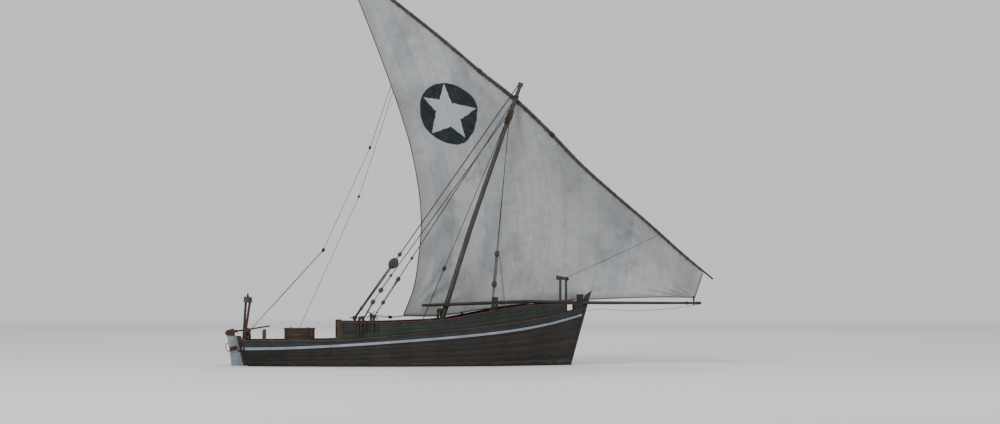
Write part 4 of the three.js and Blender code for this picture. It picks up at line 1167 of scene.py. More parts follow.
def painted_shapes(recipe):
    """How much of the star and of the disc covers each point. A wander makes their rims uneven."""
    spot = recipe.uv("painted_disc")
    wander = recipe.out("Color", "TexNoise", Vector=spot, Scale=5.0, Detail=3.0)
    wander = recipe.out(0, "VectorMath", {"operation": "SUBTRACT"}, i0=wander, i1=(0.5, 0.5, 0.5))
    wander = recipe.out(0, "VectorMath", {"operation": "SCALE"}, i0=wander, Scale=0.06)
    p, q, _ = recipe.out(0, "VectorMath", {"operation": "ADD"}, i0=spot, i1=wander).parts()
    distance = (p * p + q * q).math("SQRT")
    turn = p.math("ARCTAN2", q).scaled(0.5 / math.pi, 0.5)
    star = reach_of(turn, star_reach(), *STAR_LIMITS) - distance
    disc = reach_of(turn, DISC_RADII, *DISC_LIMITS) - distance
    shapes = star.scaled(10.0, 0.5), disc.scaled(8.0, 0.5)
    return [shape.ramp((0.4, 0.0), (0.6, 1.0)) for shape in shapes]


def canvas_finish():
    recipe = Recipe("weathered_canvas_in_painted_shade", 0.95, specular=0.2)
    place = recipe.place()
    across = recipe.uv("cloths").parts()[0]
    tone = recipe.out(0, "TexWhiteNoise", {"noise_dimensions": "1D"}, W=across.math("FLOOR"))
    from_seam = (across.math("FRACT") - 0.5).math("ABSOLUTE")
    seam = from_seam.ramp((0.452, 0.0), (0.468, 1.0))
    seam_edge = from_seam.ramp((0.445, 0.0), (0.458, 1.0), (0.475, 0.0))
    stain = place.stretched((0.55, 0.55, 0.28), (0, 0.5, 0)).noise(1.0, 7, 0.62, 0.6)
    mottle = place.noise(3.2, 6, 0.65, 0.2)
    weave = place.stretched((90, 90, 30)).noise(1.0, 2, 0.5)
    # The base grey is darker and bluer than the cloth's own colour: painted shade of a sail against the
    # light, with the cloth's weathering.
    cloth_grey_with_painted_shade = tone.ramp((0.0, (0.325, 0.34, 0.35)), (1.0, (0.375, 0.385, 0.39)))
    cloth = recipe.blend(1.0, cloth_grey_with_painted_shade, stain.ramp((0.3, 0.66), (0.5, 0.95), (0.72, 1.08)), "MULTIPLY")
    cloth = recipe.blend(1.0, cloth, mottle.ramp((0.3, 0.86), (0.7, 1.07)), "MULTIPLY")
    spots = place.noise(1.15, 2, 0.4).ramp((0.62, 0.0), (0.72, 1.0))
    spots = spots * place.noise(7.0, 4, 0.6).ramp((0.4, 0.1), (0.6, 0.45))
    cloth = recipe.blend(spots, cloth, (0.15, 0.15, 0.155))
    cloth = recipe.blend(seam * 0.17, cloth, (0.2, 0.2, 0.19))
    u, v, _ = recipe.uv("sail_share").parts()
    near_edge = (1.0 - u).math("MINIMUM", 1.0 - v)
    grime = (near_edge * 10.0).ramp((0.0, 0.5), (0.35, 0.0)) * mottle
    cloth = recipe.blend(grime, cloth, (0.13, 0.115, 0.09))
    in_star, in_disc = painted_shapes(recipe)
    worn = place.noise(11.0, 5, 0.7).ramp((0.27, 0.86), (0.46, 0.99))
    cloth = recipe.blend(in_star * 0.4, cloth, (0.37, 0.41, 0.45))
    dark = mottle.ramp((0.3, (0.009, 0.014, 0.017)), (0.7, (0.02, 0.028, 0.032)))
    colour = recipe.blend(in_disc * worn * (1.0 - in_star), cloth, dark)
    height = seam * 1.0 + weave * 0.15 + seam_edge * 0.5 + mottle * 2.0
    return recipe.finished(colour, height, 0.5, 0.012)


sail = make_piece("sail_cloth", sail_bm, "sail_rig", canvas_finish(), 180)
thickness = sail.modifiers.new("thickness", "SOLIDIFY")
thickness.thickness = 0.004
thickness.offset = 0
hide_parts("sail")
print("sail made")

# %% [markdown]
# ## Ropes on the sail and yard
# A bolt rope is sewn along the leech, foot and luff. Short ties hold the head to the yard, and
# long seizings lash the two poles together. The yard hangs at the mast by a heavy ball of rope
# turns. All of them are rope tubes wound round the pole or along the edge.

# %% Bolt rope, ties, seizings and sling
EDGE_STEPS, LUFF_STEPS = 150, 12
HOUNDS = 9.44
SLING_RADIUS = 0.085
bm = fresh_mesh()
edge_path = [sail_point(1, share) for share in shares(EDGE_STEPS)]
edge_path += [sail_point(1 - share, 1) for share in shares(EDGE_STEPS)[1:]]
edge_path += [sail_point(0, 1 - share) for share in shares(LUFF_STEPS)[1:-1]]
tube(bm, edge_path, 0.017)
rope_piece("bolt_rope", bm, "sail_rig")


def tie_ring(across):
    """A ring of rope round the yard's poles and the head of the sail."""
    along = mix(HEAD_FORE, HEAD_PEAK, across)
    out, low, lift = yard_out(along), below_yard(along), upper_lift(along)
    middle = through(YARD, along)
    radius = fair(UPPER_R if along > LOWER_END else LOWER_R, along)
    both = UPPER_START < along < LOWER_END + 0.02
    if along > LOWER_END:
        middle += out * lift
    elif both:
        middle += out * lift / 2
    width = radius + 0.012 + (lift / 2 if both else 0)
    slant = yard_along(along) * rng.uniform(-0.02, 0.02)
    ring = []
    for share in shares(14):
        turn = 2 * math.pi * share
        spot = middle + out * (math.cos(turn) * width) + low * (math.sin(turn) * (radius + 0.02) + 0.008)
        ring.append(spot + slant * math.cos(turn))
    return ring


bm = fresh_mesh()
for k in range(TIES):
    tube(bm, tie_ring((k + 0.5) / TIES), 0.011, 6, closed=True)
rope_piece("head_ties", bm, "sail_rig")


def seizing_path(place, turns=8, steps=20, pitch=0.023):
    """Turns of rope round both poles of the yard."""
    along, out = yard_along(place), yard_out(place)
    upward = along.cross(out)
    low, high = fair(LOWER_R, place), fair(UPPER_R, place)
    path = []
    for k in range(turns * steps + 1):
        turn = 2 * math.pi * k / steps
        upper = math.cos(turn) > 0
        radius = (high if upper else low) + 0.013
        shift = low + high + 0.01 if upper else 0
        spot = through(YARD, place) + along * ((k / steps - turns / 2) * pitch)
        path.append(spot + out * (math.cos(turn) * radius + shift) + upward * (math.sin(turn) * radius))
    return path


for number, place in enumerate((0.49, 0.7), 1):
    bm = fresh_mesh()
    tube(bm, seizing_path(place), 0.0115)
    rope_piece(f"seizing_turns_{number}", bm, "sail_rig", f"yard_seizing_{number}")

bm = bmesh.new()
bmesh.ops.create_uvsphere(bm, u_segments=24, v_segments=16, radius=SLING_RADIUS)
bmesh.ops.translate(bm, verts=bm.verts, vec=SLING_AT)
for k in range(9):
    tilt = Vector((math.cos(k * 0.7), math.sin(k * 1.9), math.sin(k * 0.7 + 1.1)))
    tube(bm, winding(SLING_AT, tilt, SLING_RADIUS + 0.003, 2.0, 0.03, 20, k), 0.0155)
rope_piece("sling_turns", bm, "sail_rig", "yard_sling")

bm = fresh_mesh()
mast_way = (mast_at(HOUNDS + 0.26)[0] - mast_at(HOUNDS - 0.26)[0]).normalized()
hounds, radius = mast_at(HOUNDS)
tube(bm, winding(hounds, mast_way, radius + 0.019, 13, 0.042), 0.0205)
tube(bm, winding(hounds, mast_way, radius + 0.038, 4, 0.05, start=1.0), 0.0195)
rope_piece("hounds_turns", bm, "hull", "hounds")
print("sail ropes made")

# %% [markdown]
# ## Blocks
# A pulley block is two or three rounded cheeks of wood with sheaves between them, an iron pin
# through all of them, and a rope strop round the outside. It is built hanging along Z at the
# origin and then turned into place along its rope.

# %% Blocks
BLOCK_FINISHES = [BLOCK_WOOD, ROPE, IRON]


def pulley(bm, centre, along, size, sheaves=1, finishes=(0, 1, 2)):
    """A block of a given length. Its finishes are for wood, rope and iron."""
    wood_slot, rope_slot, iron_slot = finishes
    start = set(bm.verts)
    wide, thick = size * 0.72, size * 0.14
    pitch = thick * 1.45
    for k in range(sheaves + 1):
        y = (k - sheaves / 2) * pitch
        cheek = barrel(bm, 0.5, thick, 20, Matrix.Translation((0, y, 0)))
        bmesh.ops.scale(bm, verts=cheek, vec=(wide, 1, size))
        for face in faces_of(cheek):
            face.material_index = wood_slot
        rims = [e for e in edges_of(cheek) if abs(e.verts[0].co.y - e.verts[1].co.y) < 1e-5]
        bevel(bm, rims, thick * 0.3)
    for k in range(sheaves):
        y = (k - (sheaves - 1) / 2) * pitch
        for face in faces_of(barrel(bm, wide * 0.38, pitch - thick, 20, Matrix.Translation((0, y, 0)))):
            face.material_index = wood_slot
    for face in faces_of(barrel(bm, size * 0.05, sheaves * pitch + thick * 1.3, 12)):
        face.material_index = iron_slot
    half_wide, half_long = wide / 2 + size * 0.03, size / 2 + size * 0.03
    turns = [2 * math.pi * share for share in shares(24)]
    strop = [Vector((math.cos(turn) * half_wide, 0, math.sin(turn) * half_long)) for turn in turns]
    tube(bm, strop, size * 0.045, 6, rope_slot, closed=True, up=Y_WAY)
    turned = Z_WAY.rotation_difference(Vector(along).normalized()).to_matrix().to_4x4()
    fresh = [v for v in bm.verts if v not in start]
    bmesh.ops.transform(bm, verts=fresh, matrix=Matrix.Translation(Vector(centre)) @ turned)


print("block recipe ready")

# %% [markdown]
# ## Standing ropes
# The halyard comes down from the mast head to a big block and a tackle at the aftmost timber
# head. Two shrouds run to the other two heads, each with its own blocks. A second stay from the
# hounds has its own tackle to a pin on the deck. Every rope starts and ends on something.

# %% Places of the standing ropes
HEAD_HALF = 0.045
HEAD_GAP = 0.034  # between the planking and a timber head
ROPE_TURNS = 0.075  # from a timber head's middle to the rope wound on it
BIG_BLOCK_DOWN = 8.5  # along the halyard from the mast head


def head_top(x, top):
    """Where ropes are made fast to a timber head inside the starboard rail."""
    foot = min(rail_at(x).y, rail_at(x + HEAD_HALF).y)
    return Vector((x, -(foot - PLANK - HEAD_GAP - HEAD_HALF), top - 0.06))


def at(x, z, y):
    return Vector((x, y, z))


def turns_on(bm, foot, count):
    tube(bm, winding(foot, Z_WAY, ROPE_TURNS, count, 0.034, 16), 0.016)


HALYARD_FOOT = head_top(-2.4, 1.9)
SHROUD_AFT_FOOT = head_top(-1.69, 1.93)
SHROUD_FORE_FOOT = head_top(2.74, 2.21)
SHROUD_AFT_TOP, SHROUD_FORE_TOP = mast_at(10.2)[0], mast_at(HOUNDS)[0]
SHEAVE_AT = MAST_HEAD + lean * 0.08
halyard_way = (HALYARD_FOOT - SHEAVE_AT).normalized()
BIG_BLOCK = SHEAVE_AT + halyard_way * BIG_BLOCK_DOWN
low_block = HALYARD_FOOT - halyard_way * 0.42
second_top = mast_at(9.62)[0] + Vector((-0.06, -0.13, 0))
second_block, middle_block, lower_block = at(-1.04, 3.41, -1.49), at(-1.42, 2.86, -1.6), at(-1.72, 2.42, -1.7)
deck_pin = at(-2.12, 1.7, -1.88)
second_way = (deck_pin - second_block).normalized()

# %% Halyard
bm = fresh_mesh()
line(bm, SHEAVE_AT - X_WAY * 0.075, BIG_BLOCK - halyard_way * 0.2, 0.021)
line(bm, second_top, second_block, 0.018)
rope_piece("halyard_ropes", bm, node="halyard")

bm = fresh_mesh()
pulley(bm, BIG_BLOCK, -halyard_way, 0.40, 2)
pulley(bm, BIG_BLOCK - halyard_way * 0.42, -halyard_way, 0.17)
make_piece("halyard_big_block", bm, "hull", BLOCK_FINISHES, node="halyard_block")

bm = fresh_mesh()
shifts = (-0.055, -0.018, 0.018, 0.055)
side_by_side(bm, BIG_BLOCK + halyard_way * 0.17, low_block, shifts, 0.0125, (1, 0.4, 0), (0.7, 0.28, 0))
line(bm, low_block, HALYARD_FOOT, 0.036, 10, 0.1)
turns_on(bm, HALYARD_FOOT, 4)
rope_piece("halyard_falls", bm, node="halyard_tackle")

# %% Shrouds and the second stay
bm = fresh_mesh()
for place, size in ((second_block, 0.12), (middle_block, 0.2), (lower_block, 0.19)):
    pulley(bm, place, -second_way, size)
pulley(bm, low_block, -halyard_way, 0.15, 2)
aft_way, fore_way = SHROUD_AFT_TOP - SHROUD_AFT_FOOT, SHROUD_FORE_TOP - SHROUD_FORE_FOOT
for share, size in ((0.737, 0.13), (0.832, 0.19), (0.936, 0.17)):
    pulley(bm, SHROUD_AFT_TOP.lerp(SHROUD_AFT_FOOT, share), aft_way, size)
for share, size in ((0.715, 0.22), (0.872, 0.24)):
    pulley(bm, SHROUD_FORE_TOP.lerp(SHROUD_FORE_FOOT, share), fore_way, size, 2)
make_piece("shroud_blocks", bm, "hull", BLOCK_FINISHES)

bm = fresh_mesh()
side_by_side(bm, second_block, middle_block, (-0.02, 0.02), 0.011)
line(bm, middle_block, lower_block, 0.014)
side_by_side(bm, lower_block, deck_pin, (-0.025, 0.0, 0.025), 0.011)
rope_piece("second_tackle", bm)


def down_aft(share):
    return SHROUD_AFT_TOP.lerp(SHROUD_AFT_FOOT, share)


bm = fresh_mesh()
line(bm, SHROUD_AFT_TOP, down_aft(0.732), 0.018)
line(bm, down_aft(0.74), down_aft(0.828), 0.018)
served = [down_aft(0.838 + 0.034 * share) for share in shares(6)]
tube(bm, served, [0.042, 0.045, 0.041, 0.037, 0.032, 0.027, 0.02], 12)
side_by_side(bm, down_aft(0.866), down_aft(0.933), (-0.022, 0.022), 0.015)
line(bm, down_aft(0.94), SHROUD_AFT_FOOT, 0.02)
turns_on(bm, SHROUD_AFT_FOOT, 3)
tube(bm, winding(SHROUD_AFT_TOP, mast_way, 0.092, 4, 0.034, 16), 0.016)
rope_piece("shroud_aft_rope", bm, node="shroud_aft")

bm = fresh_mesh()
upper_block, lower_spot = (SHROUD_FORE_TOP.lerp(SHROUD_FORE_FOOT, share) for share in (0.71, 0.875))
side_by_side(bm, SHROUD_FORE_TOP - Y_WAY * 0.1, upper_block, (-0.03, 0.03), 0.0125, (0, 0, 3), (0.6, 0, 0))
side_by_side(bm, upper_block, lower_spot, (-0.045, -0.015, 0.015, 0.045), 0.012)
side_by_side(bm, lower_spot, SHROUD_FORE_FOOT, (-0.02, 0.02), 0.015)
turns_on(bm, SHROUD_FORE_FOOT, 4)
rope_piece("shroud_fore_rope", bm, node="shroud_fore")
print("standing ropes made")

# %% [markdown]
# ## Ropes that move with the sail
# When the rig swings, the sheet, the vangs, the fore brace and the tack lashing stay fast to the
# hull at one end and to the sail or yard at the other. Each of these ropes is one piece that
# bends between the two bodies, so neither end comes loose.

# %% Sheet, vangs, brace and tack lashing
def rig_rope(name, runs, start, end, blocks=()):
    """Ropes from the hull to the sail's rig, with the blocks on them."""
    bm = fresh_mesh()
    for points, radius in runs:
        tube(bm, evenly(points, 0.3), radius)
    for centre, way, size in blocks:
        pulley(bm, centre, way, size, finishes=(1, 0, 2))
    piece = make_piece(name, bm, None, [ROPE, BLOCK_WOOD, IRON], 50)
    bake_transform(piece, "hull", "sail_rig", start=start, end=end)


def sagging(a, b, drop):
    return [a.lerp(b, s) - Vector((0, 0, 4 * drop * s * (1 - s))) for s in shares(12)]


def beside_upper(share):
    """A place on the outer side of the yard's upper pole."""
    return through(YARD, share) + yard_out(share) * (upper_lift(share) + 0.07)


SHEET_POST = at(-1.69, 1.87, 1.876)
sheet_block = CLEW.lerp(SHEET_POST, 0.4) - Z_WAY * 0.05
above = Z_WAY * 0.03
rig_rope(
    "sheet",
    [(sagging(CLEW, sheet_block, 0.01), 0.018), (sagging(sheet_block, SHEET_POST, 0.03), 0.012),
     (sagging(sheet_block + above, SHEET_POST + above, 0.015), 0.012)],
    SHEET_POST, CLEW, [(sheet_block, CLEW - SHEET_POST, 0.17)],
)
quarter_foot, quarter_top, by_leech = at(-6.49, 1.14, 1.12), beside_upper(0.85), at(-1.02, 10.5, 0.93)
upper, lower = at(-1.76, 8.3, 0.98), at(-3.54, 4.38, 1.03)
rig_rope(
    "vang_to_quarter",
    [([quarter_top, at(-0.55, 12.1, 0.76), by_leech, upper], 0.011), ([upper, lower], 0.0095),
     ([lower - X_WAY * 0.02, quarter_foot], 0.009), ([lower + X_WAY * 0.03, quarter_foot], 0.009)],
    quarter_foot, quarter_top, [(upper, by_leech - upper, 0.13), (lower, upper - lower, 0.15)],
)
rail_foot, rail_top, bend = at(-4.6, 1.03, 1.74), beside_upper(0.845), at(-2.18, 6.43, 1.12)
rig_rope(
    "vang_to_rail",
    [([rail_top, at(-0.5, 12.0, 0.78), at(-0.9, 10.4, 0.95), at(-1.67, 7.95, 1.05), bend], 0.0095),
     ([bend, rail_foot], 0.009)],
    rail_foot, rail_top, [(bend, Vector((0.3, 0, 1)), 0.11)],
)
brace_foot, brace_top = at(5.72, 3.35, -0.037), through(YARD, 0.168) - yard_out(0.168) * 0.065
rig_rope("fore_brace", [(sagging(brace_foot, brace_top, 0.03), 0.009)], brace_foot, brace_top)
LASHING_TURNS, LASHING_STEPS = 3, 16
lashing = []
for k in range(LASHING_TURNS * LASHING_STEPS + 1):
    turn = 2 * math.pi * k / LASHING_STEPS
    x = 10.54 + k / LASHING_STEPS * 0.019
    lashing.append(at(x, 2.455 + 0.165 * math.sin(turn), TACK.y + 0.062 * math.cos(turn)))
rig_rope("tack_lashing", [(lashing, 0.009)], (10.55, -0.13, 2.41), (10.55, -0.13, 2.56))
print("running ropes made")

# %% [markdown]
# ## Lashings, hanks and made-fast ropes
# Rope that isn't in use hangs in hanks: many long loops gathered at the top. Others are turns
# round a post, a pin or two spars at once. The backstay leads down to a ring in the hold, and a
# slack line hangs under the bowsprit.

# %% Hanks and coils
def hank(bm, centre, tall, wide, loops, radius):
    """Long loops of rope hung side by side, with a few turns round their neck."""
    for k in range(loops):
        size = rng.uniform(0.85, 1.12)
        spread = rng.uniform(0.2, 1.1)
        shift = Y_WAY * ((k - loops / 2) * radius * 1.1) + X_WAY * rng.uniform(-0.015, 0.015)
        path = []
        for share in shares(18):
            turn = 2 * math.pi * share
            down = 0.5 * (1 - math.cos(turn))
            across = math.sin(turn) * wide / 2 * spread * (0.35 + 0.65 * down)
            path.append(centre + shift + at(across, -down * tall * size, 0))
        tube(bm, path, radius, 6, closed=True)
    neck, reach = centre - Z_WAY * (tall * 0.16), wide * 0.3 + radius
    tube(bm, winding(neck, Z_WAY, reach, 4, radius * 2.1, 12, 0, max(loops * radius / wide, 0.8)), radius, 6)


def flat_coil(bm, centre, reach, turns, radius, layers=3, steps=20):
    path = []
    for layer in range(layers):
        for k in range(turns * steps + 1):
            share = k / (turns * steps)
            share = share if layer % 2 == 0 else 1 - share
            turn = 2 * math.pi * k / steps
            out = reach * (0.35 + 0.65 * share) * rng.uniform(0.985, 1.015)
            height = radius * (1 + 1.8 * layer)
            path.append(Vector(centre) + Vector((math.cos(turn) * out, math.sin(turn) * out, height)))
    tube(bm, path, radius, 6)


HANKS = [
    # place, height of the place, side, length, width, loops, rope radius
    (-6.38, 1.42, -1.05, 0.42, 0.3, 9, 0.015),
    (-6.47, 1.4, 1.05, 0.36, 0.26, 7, 0.014),
    (0.86, 2.16, -0.02, 0.5, 0.3, 9, 0.014),
    (2.83, 2.6, -1.98, 0.42, 0.34, 9, 0.014),
    (-2.16, 1.88, -1.9, 0.26, 0.3, 8, 0.013),
]
bm = fresh_mesh()
for x, z, y, *shape in HANKS:
    hank(bm, at(x, z, y), *shape)
for x, tall in ((-2.27, 0.4), (-2.17, 0.48), (-2.02, 0.36), (-1.74, 0.42), (-1.6, 0.34)):
    rail = rail_at(x)
    y = -(rail.y + FLARE * (1.66 - rail.z - CAP_TOP) + 0.045)
    hank(bm, Vector((x, y, fair(WASHBOARD_TOP, x) + 0.02)), tall, 0.1, 3, 0.011)
flat_coil(bm, (-3.45, 0.85, 0.722), 0.3, 6, 0.017)
flat_coil(bm, (4.35, 0.75, 1.503), 0.32, 6, 0.02)
flat_coil(bm, (-5.6, -0.9, 0.722), 0.27, 5, 0.018)
rope_piece("hanks_and_coils", bm)

# %% Lashings and lines
bm = fresh_mesh()
for x in (5.46, 5.68):
    spot = sprit_at(x)[0]
    path = []
    for k in range(5 * 16 + 1):
        turn = 2 * math.pi * k / 16
        across, upward = 0.061 + 0.155 * math.cos(turn), 0.085 * math.sin(turn)
        path.append(Vector((x - 0.045 + k / 80 * 0.09, spot.y + across, spot.z + upward)))
    tube(bm, path, 0.013)
for tip in (-0.75, 0.75):
    tube(bm, winding((1.135, -0.085, 2.31), (tip, 0, 1), 0.112, 5, 0.03, 18, 0, 1.75), 0.014)
for x, count in ((3.2, 3), (10.3, 4), (10.74, 5)):
    spot, radius = sprit_at(x)
    tube(bm, winding(spot, X_WAY, radius + 0.01, count, 0.026, 16), 0.012)
tube(bm, winding((5.72, -0.037, 3.287), X_WAY, 0.064, 4, 0.02, 16, 0, 1.53), 0.009, 6)
SLACK_LINE = [
    (6.42, -0.2, 2.05), (6.96, -0.19, 2.13), (8.04, -0.17, 2.06), (8.5, -0.16, 2.07), (9.72, -0.15, 2.14),
    (10.27, -0.14, 2.22), (10.72, -0.13, 2.31),
]
slack = [Vector(place) for place in SLACK_LINE]
tube(bm, [through(slack, share) for share in shares(60)], 0.009, 6)
stay_top, stay_ring = mast_at(9.42)[0] + Vector((-0.05, 0.09, 0)), at(-0.6, -0.27, 0.3)
stay_block = stay_top.lerp(stay_ring, 0.593)
line(bm, stay_top, stay_block, 0.012)
side_by_side(bm, stay_block, stay_ring, (-0.02, 0.02), 0.009, end=(0.4, 0, 0))
line(bm, at(3.04, 4.2, -1.15), at(3.2, 2.1, -1.84), 0.0085, 6)
line(bm, at(3.09, 4.15, -1.15), at(3.24, 2.1, -1.84), 0.0085, 6)
rope_piece("lashings_and_lines", bm)

bm = fresh_mesh()
pulley(bm, stay_block, stay_top - stay_ring, 0.17)
make_piece("backstay_block", bm, "hull", BLOCK_FINISHES)

bm = fresh_mesh()
tube(bm, winding(HALYARD_FOOT - halyard_way * 0.5, halyard_way, 0.034, 40, 0.0235, 12), 0.013, 6)
rope_piece("halyard_frapping", bm)
print("lashings made")

# %% [markdown]
# ## Wooden and iron fittings
# Small fittings finish the boat: crossed pegs through the timber heads, a post for the sheet,
# mooring posts on the quarters, cleats, a moulding over the transom, knees under the beams, and
# forged straps that hold the rudder's irons.

# %% Helpers for fittings
def bar(bm, a, b, wide, thick, up=Z_WAY, round_off=0.006):
    """A straight timber or plate between two points."""
    a, b = Vector(a), Vector(b)
    along = (b - a).normalized()
    side = Vector(up).cross(along).normalized()
    turned = Matrix((along, side, along.cross(side))).transposed().to_4x4()
    verts = bmesh.ops.create_cube(bm, size=1)["verts"]
    bmesh.ops.scale(bm, verts=verts, vec=((b - a).length, wide, thick))
    bmesh.ops.transform(bm, verts=verts, matrix=Matrix.Translation((a + b) / 2) @ turned)
    bevel(bm, edges_of(verts), round_off)


def peg(bm, a, b, thick, thin):
    path = evenly([a, b], 0.1)
    tube(bm, path, [mix(thick, thin, share) for share in shares(len(path) - 1)], 10)


def eye(centre, across, upward, steps):
    """Points of a closed ring."""
    turns = [2 * math.pi * share for share in shares(steps)]
    return [centre + across * math.cos(turn) + upward * math.sin(turn) for turn in turns]


# %% Gallows beam, pegs, posts and cleats
BEAM_AT = Vector((-6.4025, 0, 2.4953))
BEAM_HALF = 1.2
SHEET_POST_X, SHEET_POST_Y = -1.69, 1.87
MOORING_X, WASHBOARD_AFT = -5.78, -2.8
CLEATS_X = (-4.6, -0.9, 1.9, 4.4)
slope = math.atan2(0.175, 2.1)  # how the beam is turned, seen from above
bm = fresh_mesh(painted=True)
beam_way = Vector((-math.sin(slope), math.cos(slope), 0))
bar(bm, BEAM_AT + beam_way * BEAM_HALF, BEAM_AT - beam_way * BEAM_HALF, 0.15, 0.21, round_off=0.014)
before = set(bm.verts)
bar(bm, BEAM_AT + Z_WAY * 0.1, BEAM_AT + Z_WAY * 0.275, 0.1, 0.12, beam_way)
for vert in bm.verts:
    if vert not in before and vert.co.z > BEAM_AT.z + 0.2:
        vert.co.x = BEAM_AT.x + (vert.co.x - BEAM_AT.x) * 0.2
make_piece("gallows_crossbeam", bm, "hull", GALLOWS_WOOD, 35, "gallows_beam")

bm = fresh_mesh(painted=True)
for y in (SHROUD_AFT_FOOT.y, SHEET_POST_Y):
    for tip in (-0.16, 0.16):
        peg(bm, (SHEET_POST_X - tip, y - 0.065, 1.77), (SHEET_POST_X + tip, y - 0.065, 2.05), 0.02, 0.013)
for foot in (HALYARD_FOOT, SHROUD_FORE_FOOT):
    peg(bm, foot + Vector((-0.2, 0.0, 0.005)), foot + Vector((0.2, 0.0, 0.02)), 0.018, 0.014)
post_foot = rail_at(SHEET_POST_X).z - 0.1
bar(bm, (SHEET_POST_X, SHEET_POST_Y, post_foot), (SHEET_POST_X, SHEET_POST_Y, 1.95), 0.09, 0.09, X_WAY, 0.01)
for side, _ in SIDES:
    rail = rail_at(MOORING_X, side) - Y_WAY * (side * 0.02)
    bar(bm, rail + Z_WAY * 0.052, rail + Z_WAY * 0.41, 0.13, 0.1, Y_WAY, 0.012)
    for x in CLEATS_X:
        inward, up = (0.115, 0.5) if x > WASHBOARD_AFT else (0.04, 0.06)
        foot = rail_at(x, side) + Vector((0, -side * inward, up))
        bar(bm, foot + Vector((-0.14, 0, 0.03)), foot + Vector((0.14, 0, 0.03)), 0.035, 0.03)
        bar(bm, foot - X_WAY * 0.04, foot + X_WAY * 0.04, 0.035, 0.05)
make_piece("pegs_posts_and_cleats", bm, "hull", UPRIGHT_TIMBER, 35)

# %% Knees and transom moulding
MOULDING_Z = 0.68
KNEES = ((-2.965, 0.51), (-1.265, 0.7), (3.415, 1.29))
KNEE_DROP, KNEE_REACH = 0.36, 0.42
bm = fresh_mesh(painted=True)
for side, _ in SIDES:
    for x, z in KNEES:
        low, high = shell_at(x, z - KNEE_DROP, -0.1) - 0.03, shell_at(x, z, -0.1) - KNEE_REACH
        bar(bm, (x, side * low, z - KNEE_DROP), (x, side * high, z), 0.08, 0.08, X_WAY, 0.01)
make_piece("beam_knees", bm, "hull", CROSS_TIMBER, 35)

bm = fresh_mesh(painted=True)
for side, _ in SIDES:
    face_x = TRANSOM_X - TRANSOM_RAKE * MOULDING_Z - 0.0745
    bar(bm, (face_x, side * 0.084, MOULDING_Z), (face_x, side * 1.33, MOULDING_Z), 0.028, 0.09)
make_piece("transom_moulding", bm, "hull", WALE_PAINT, 35)

# %% Rudder irons, cleat and ropes
HINGE_FOOT = Vector((-6.6206, 0, 0))
RAKE, BACK = Vector((-0.224148, 0, 0.974555)), Vector((-0.974555, 0, -0.224148))
IRON_HEIGHTS = (-0.56, 0.56)


def straps(bm, apart, start, end, tall, rivets, proud):
    """Iron straps on both sides of a timber at both hinge heights, with rivets along them."""
    for z in IRON_HEIGHTS:
        for y in (-apart, apart):
            hinge = HINGE_FOOT + RAKE * (z / RAKE.z)
            beside = hinge + Y_WAY * y
            bar(bm, beside + BACK * start, beside + BACK * end, 0.008, tall, RAKE, 0.002)
            for reach in rivets:
                rivet = bmesh.ops.create_icosphere(bm, subdivisions=2, radius=0.009)["verts"]
                spot = Matrix.Translation(hinge + BACK * reach + Y_WAY * (y * proud))
                bmesh.ops.transform(bm, verts=rivet, matrix=spot @ Matrix.Diagonal((1, 0.5, 1, 1)))


bm = fresh_mesh(painted=True)
straps(bm, 0.037, 0.04, 0.3, 0.055, [0.07 + 0.065 * k for k in range(4)], 1.13)
make_piece("rudder_straps", bm, "rudder", RUDDER_PAINT, 35)

bm = fresh_mesh(painted=True)
straps(bm, 0.0845, -0.045, -0.21, 0.06, [-0.07 - 0.055 * k for k in range(3)], 1.06)
tube(bm, eye(at(-0.6, -0.262, 0.3), X_WAY * 0.045, Z_WAY * 0.045, 16), 0.009, closed=True, up=Y_WAY)
make_piece("hull_irons", bm, "hull", IRON, 35)

bm = fresh_mesh(painted=True)
for y in (-0.04, 0.04):
    low = HINGE_FOOT + Y_WAY * y + RAKE * 0.71
    bar(bm, low + BACK * 0.015, low + BACK * 0.315, 0.016, 0.15, RAKE, 0.005)
make_piece("rudder_cleat", bm, "rudder", RED_TIMBER, 35)

bm = fresh_mesh(painted=True)
becket = HINGE_FOOT + RAKE * 0.79 + BACK * 0.36
tube(bm, eye(becket, BACK * 0.075, RAKE * 0.16, 20), 0.014, closed=True, up=Y_WAY)
tube(bm, winding((-6.86, 0, 1.303), (0.4, 0, 0.06), 0.046, 5, 0.026, 16), 0.012)
rope_piece("rudder_ropes", bm, "rudder")

# %% Battens on the locker
HINGE_X = (-4.78, -4.12)
bm = fresh_mesh(painted=True)
for x in HINGE_X:
    bar(bm, (x - 0.045, -0.5, 1.4325), (x + 0.045, -0.5, 1.4325), 0.04, 0.02)
    bar(bm, (x, -0.5, 1.432), (x, 0.5, 1.432), 0.09, 0.022, round_off=0.005)
make_piece("lid_battens", bm, "lid", CROSS_TIMBER, 35)
bm = fresh_mesh(painted=True)
for x in (-4.9, -4.0):
    for y in (0.527, -0.527):
        bar(bm, (x, y, 0.75), (x, y, 1.36), 0.08, 0.014, Y_WAY, 0.004)
for x in HINGE_X:
    bar(bm, (x, 0.533, 1.2), (x, 0.533, 1.385), 0.045, 0.008, Y_WAY, 0.002)
make_piece("locker_battens", bm, "hull", UPRIGHT_TIMBER, 35)
print("fittings made")

# %% [markdown]
# ## Where the boat floats
# The floor is the calm water's level, shown as a plain pale sheet. The hull is open and its hold
# floor lies below the water, so the sheet has a hole in the shape of the hull at the waterline.
# Far off, the sheet fades into the backdrop, so its rim is never seen.

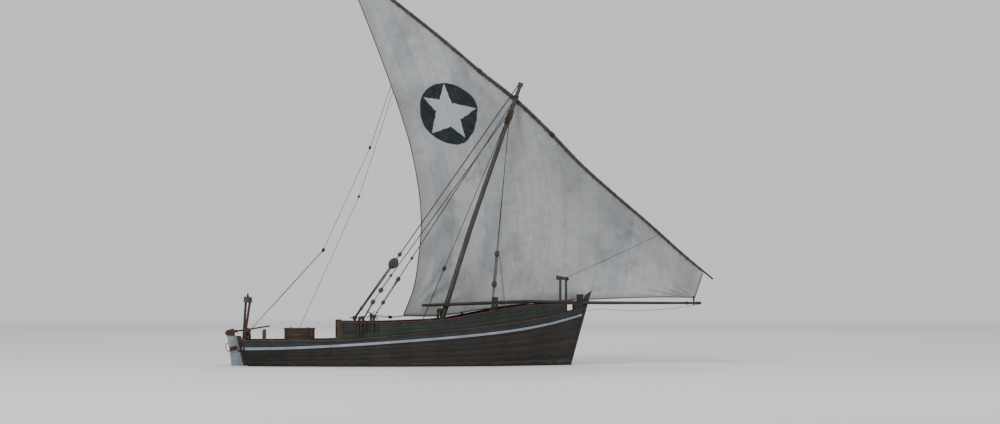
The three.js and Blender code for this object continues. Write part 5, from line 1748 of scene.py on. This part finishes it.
# %% Floor
FLOOR_REACHES = (12.0, 140.0)
FADE = {"From Min": 50.0, "From Max": 130.0}
UNDER_HULL = 0.985
bm = bmesh.new()
port_side = [hull_point(k / 2, WATER_ROW) for k in range(2 * COLUMNS + 1)]
outline = [(p.x, -p.y * UNDER_HULL, 0) for p in port_side]
outline += [(p.x, p.y * UNDER_HULL, 0) for p in reversed(port_side)]
verts = [bm.verts.new(place) for place in outline]
rim = [bm.edges.new((a, b)) for a, b in zip(verts, verts[1:] + verts[:1])]
for reach in FLOOR_REACHES:
    grown = bmesh.ops.extrude_edge_only(bm, edges=rim)["geom"]
    rim = [part for part in grown if isinstance(part, bmesh.types.BMEdge)]
    for vert in once(vert for edge in rim for vert in edge.verts):
        vert.co = vert.co.normalized() * reach
bmesh.ops.recalc_face_normals(bm, faces=bm.faces)
floor_mesh = bpy.data.meshes.new("floor")
bm.to_mesh(floor_mesh)
bm.free()
if floor_mesh.polygons[0].normal.z < 0:
    floor_mesh.flip_normals()
pale = Recipe("pale_floor", 0.9)
pale.surface.inputs["Base Color"].default_value = (0.67, 0.67, 0.67, 1)
far_off = pale.out("Value", "VectorMath", {"operation": "LENGTH"}, i0=pale.place())
fade = pale.out(0, "MapRange", {"interpolation_type": "SMOOTHSTEP"}, Value=far_off, **FADE)
solid, open_air = Term(pale, pale.surface.outputs[0]), pale.out(0, "BsdfTransparent")
faded = pale.out(0, "MixShader", i0=fade, i1=solid, i2=open_air)
pale.join(faded, pale.material.node_tree.nodes["Material Output"].inputs["Surface"])
floor_mesh.materials.append(pale.material)
floor = bpy.data.objects.new("floor", floor_mesh)
bpy.context.collection.objects.link(floor)

# %% Light and backdrop
world = bpy.data.worlds.new("studio")
world.use_nodes = True
world.node_tree.nodes["Background"].inputs["Color"].default_value = (0.96, 0.97, 1.0, 1)
world.node_tree.nodes["Background"].inputs["Strength"].default_value = 0.8
bpy.context.scene.world = world
SOFTBOXES = [
    # name, place, width in metres, power in watts
    ("key", (-30, -45, 50), 26, 26000),
    ("fill", (45, -40, 30), 30, 9000),
    ("rim", (10, 60, 45), 30, 9000),
]
AIM = Vector((1, 0, 5))
for name, place, size, power in SOFTBOXES:
    light = bpy.data.objects.new(name, bpy.data.lights.new(name, "AREA"))
    light.data.shape = "DISK"
    light.data.size = size
    light.data.energy = power
    light.location = place
    light.rotation_euler = (AIM - Vector(place)).to_track_quat("-Z", "Y").to_euler()
    bpy.context.collection.objects.link(light)
for left_over in ("Cube", "Light", "Camera"):
    if left_over in bpy.data.objects:
        bpy.data.objects.remove(bpy.data.objects[left_over])
print("floor, light and backdrop ready")
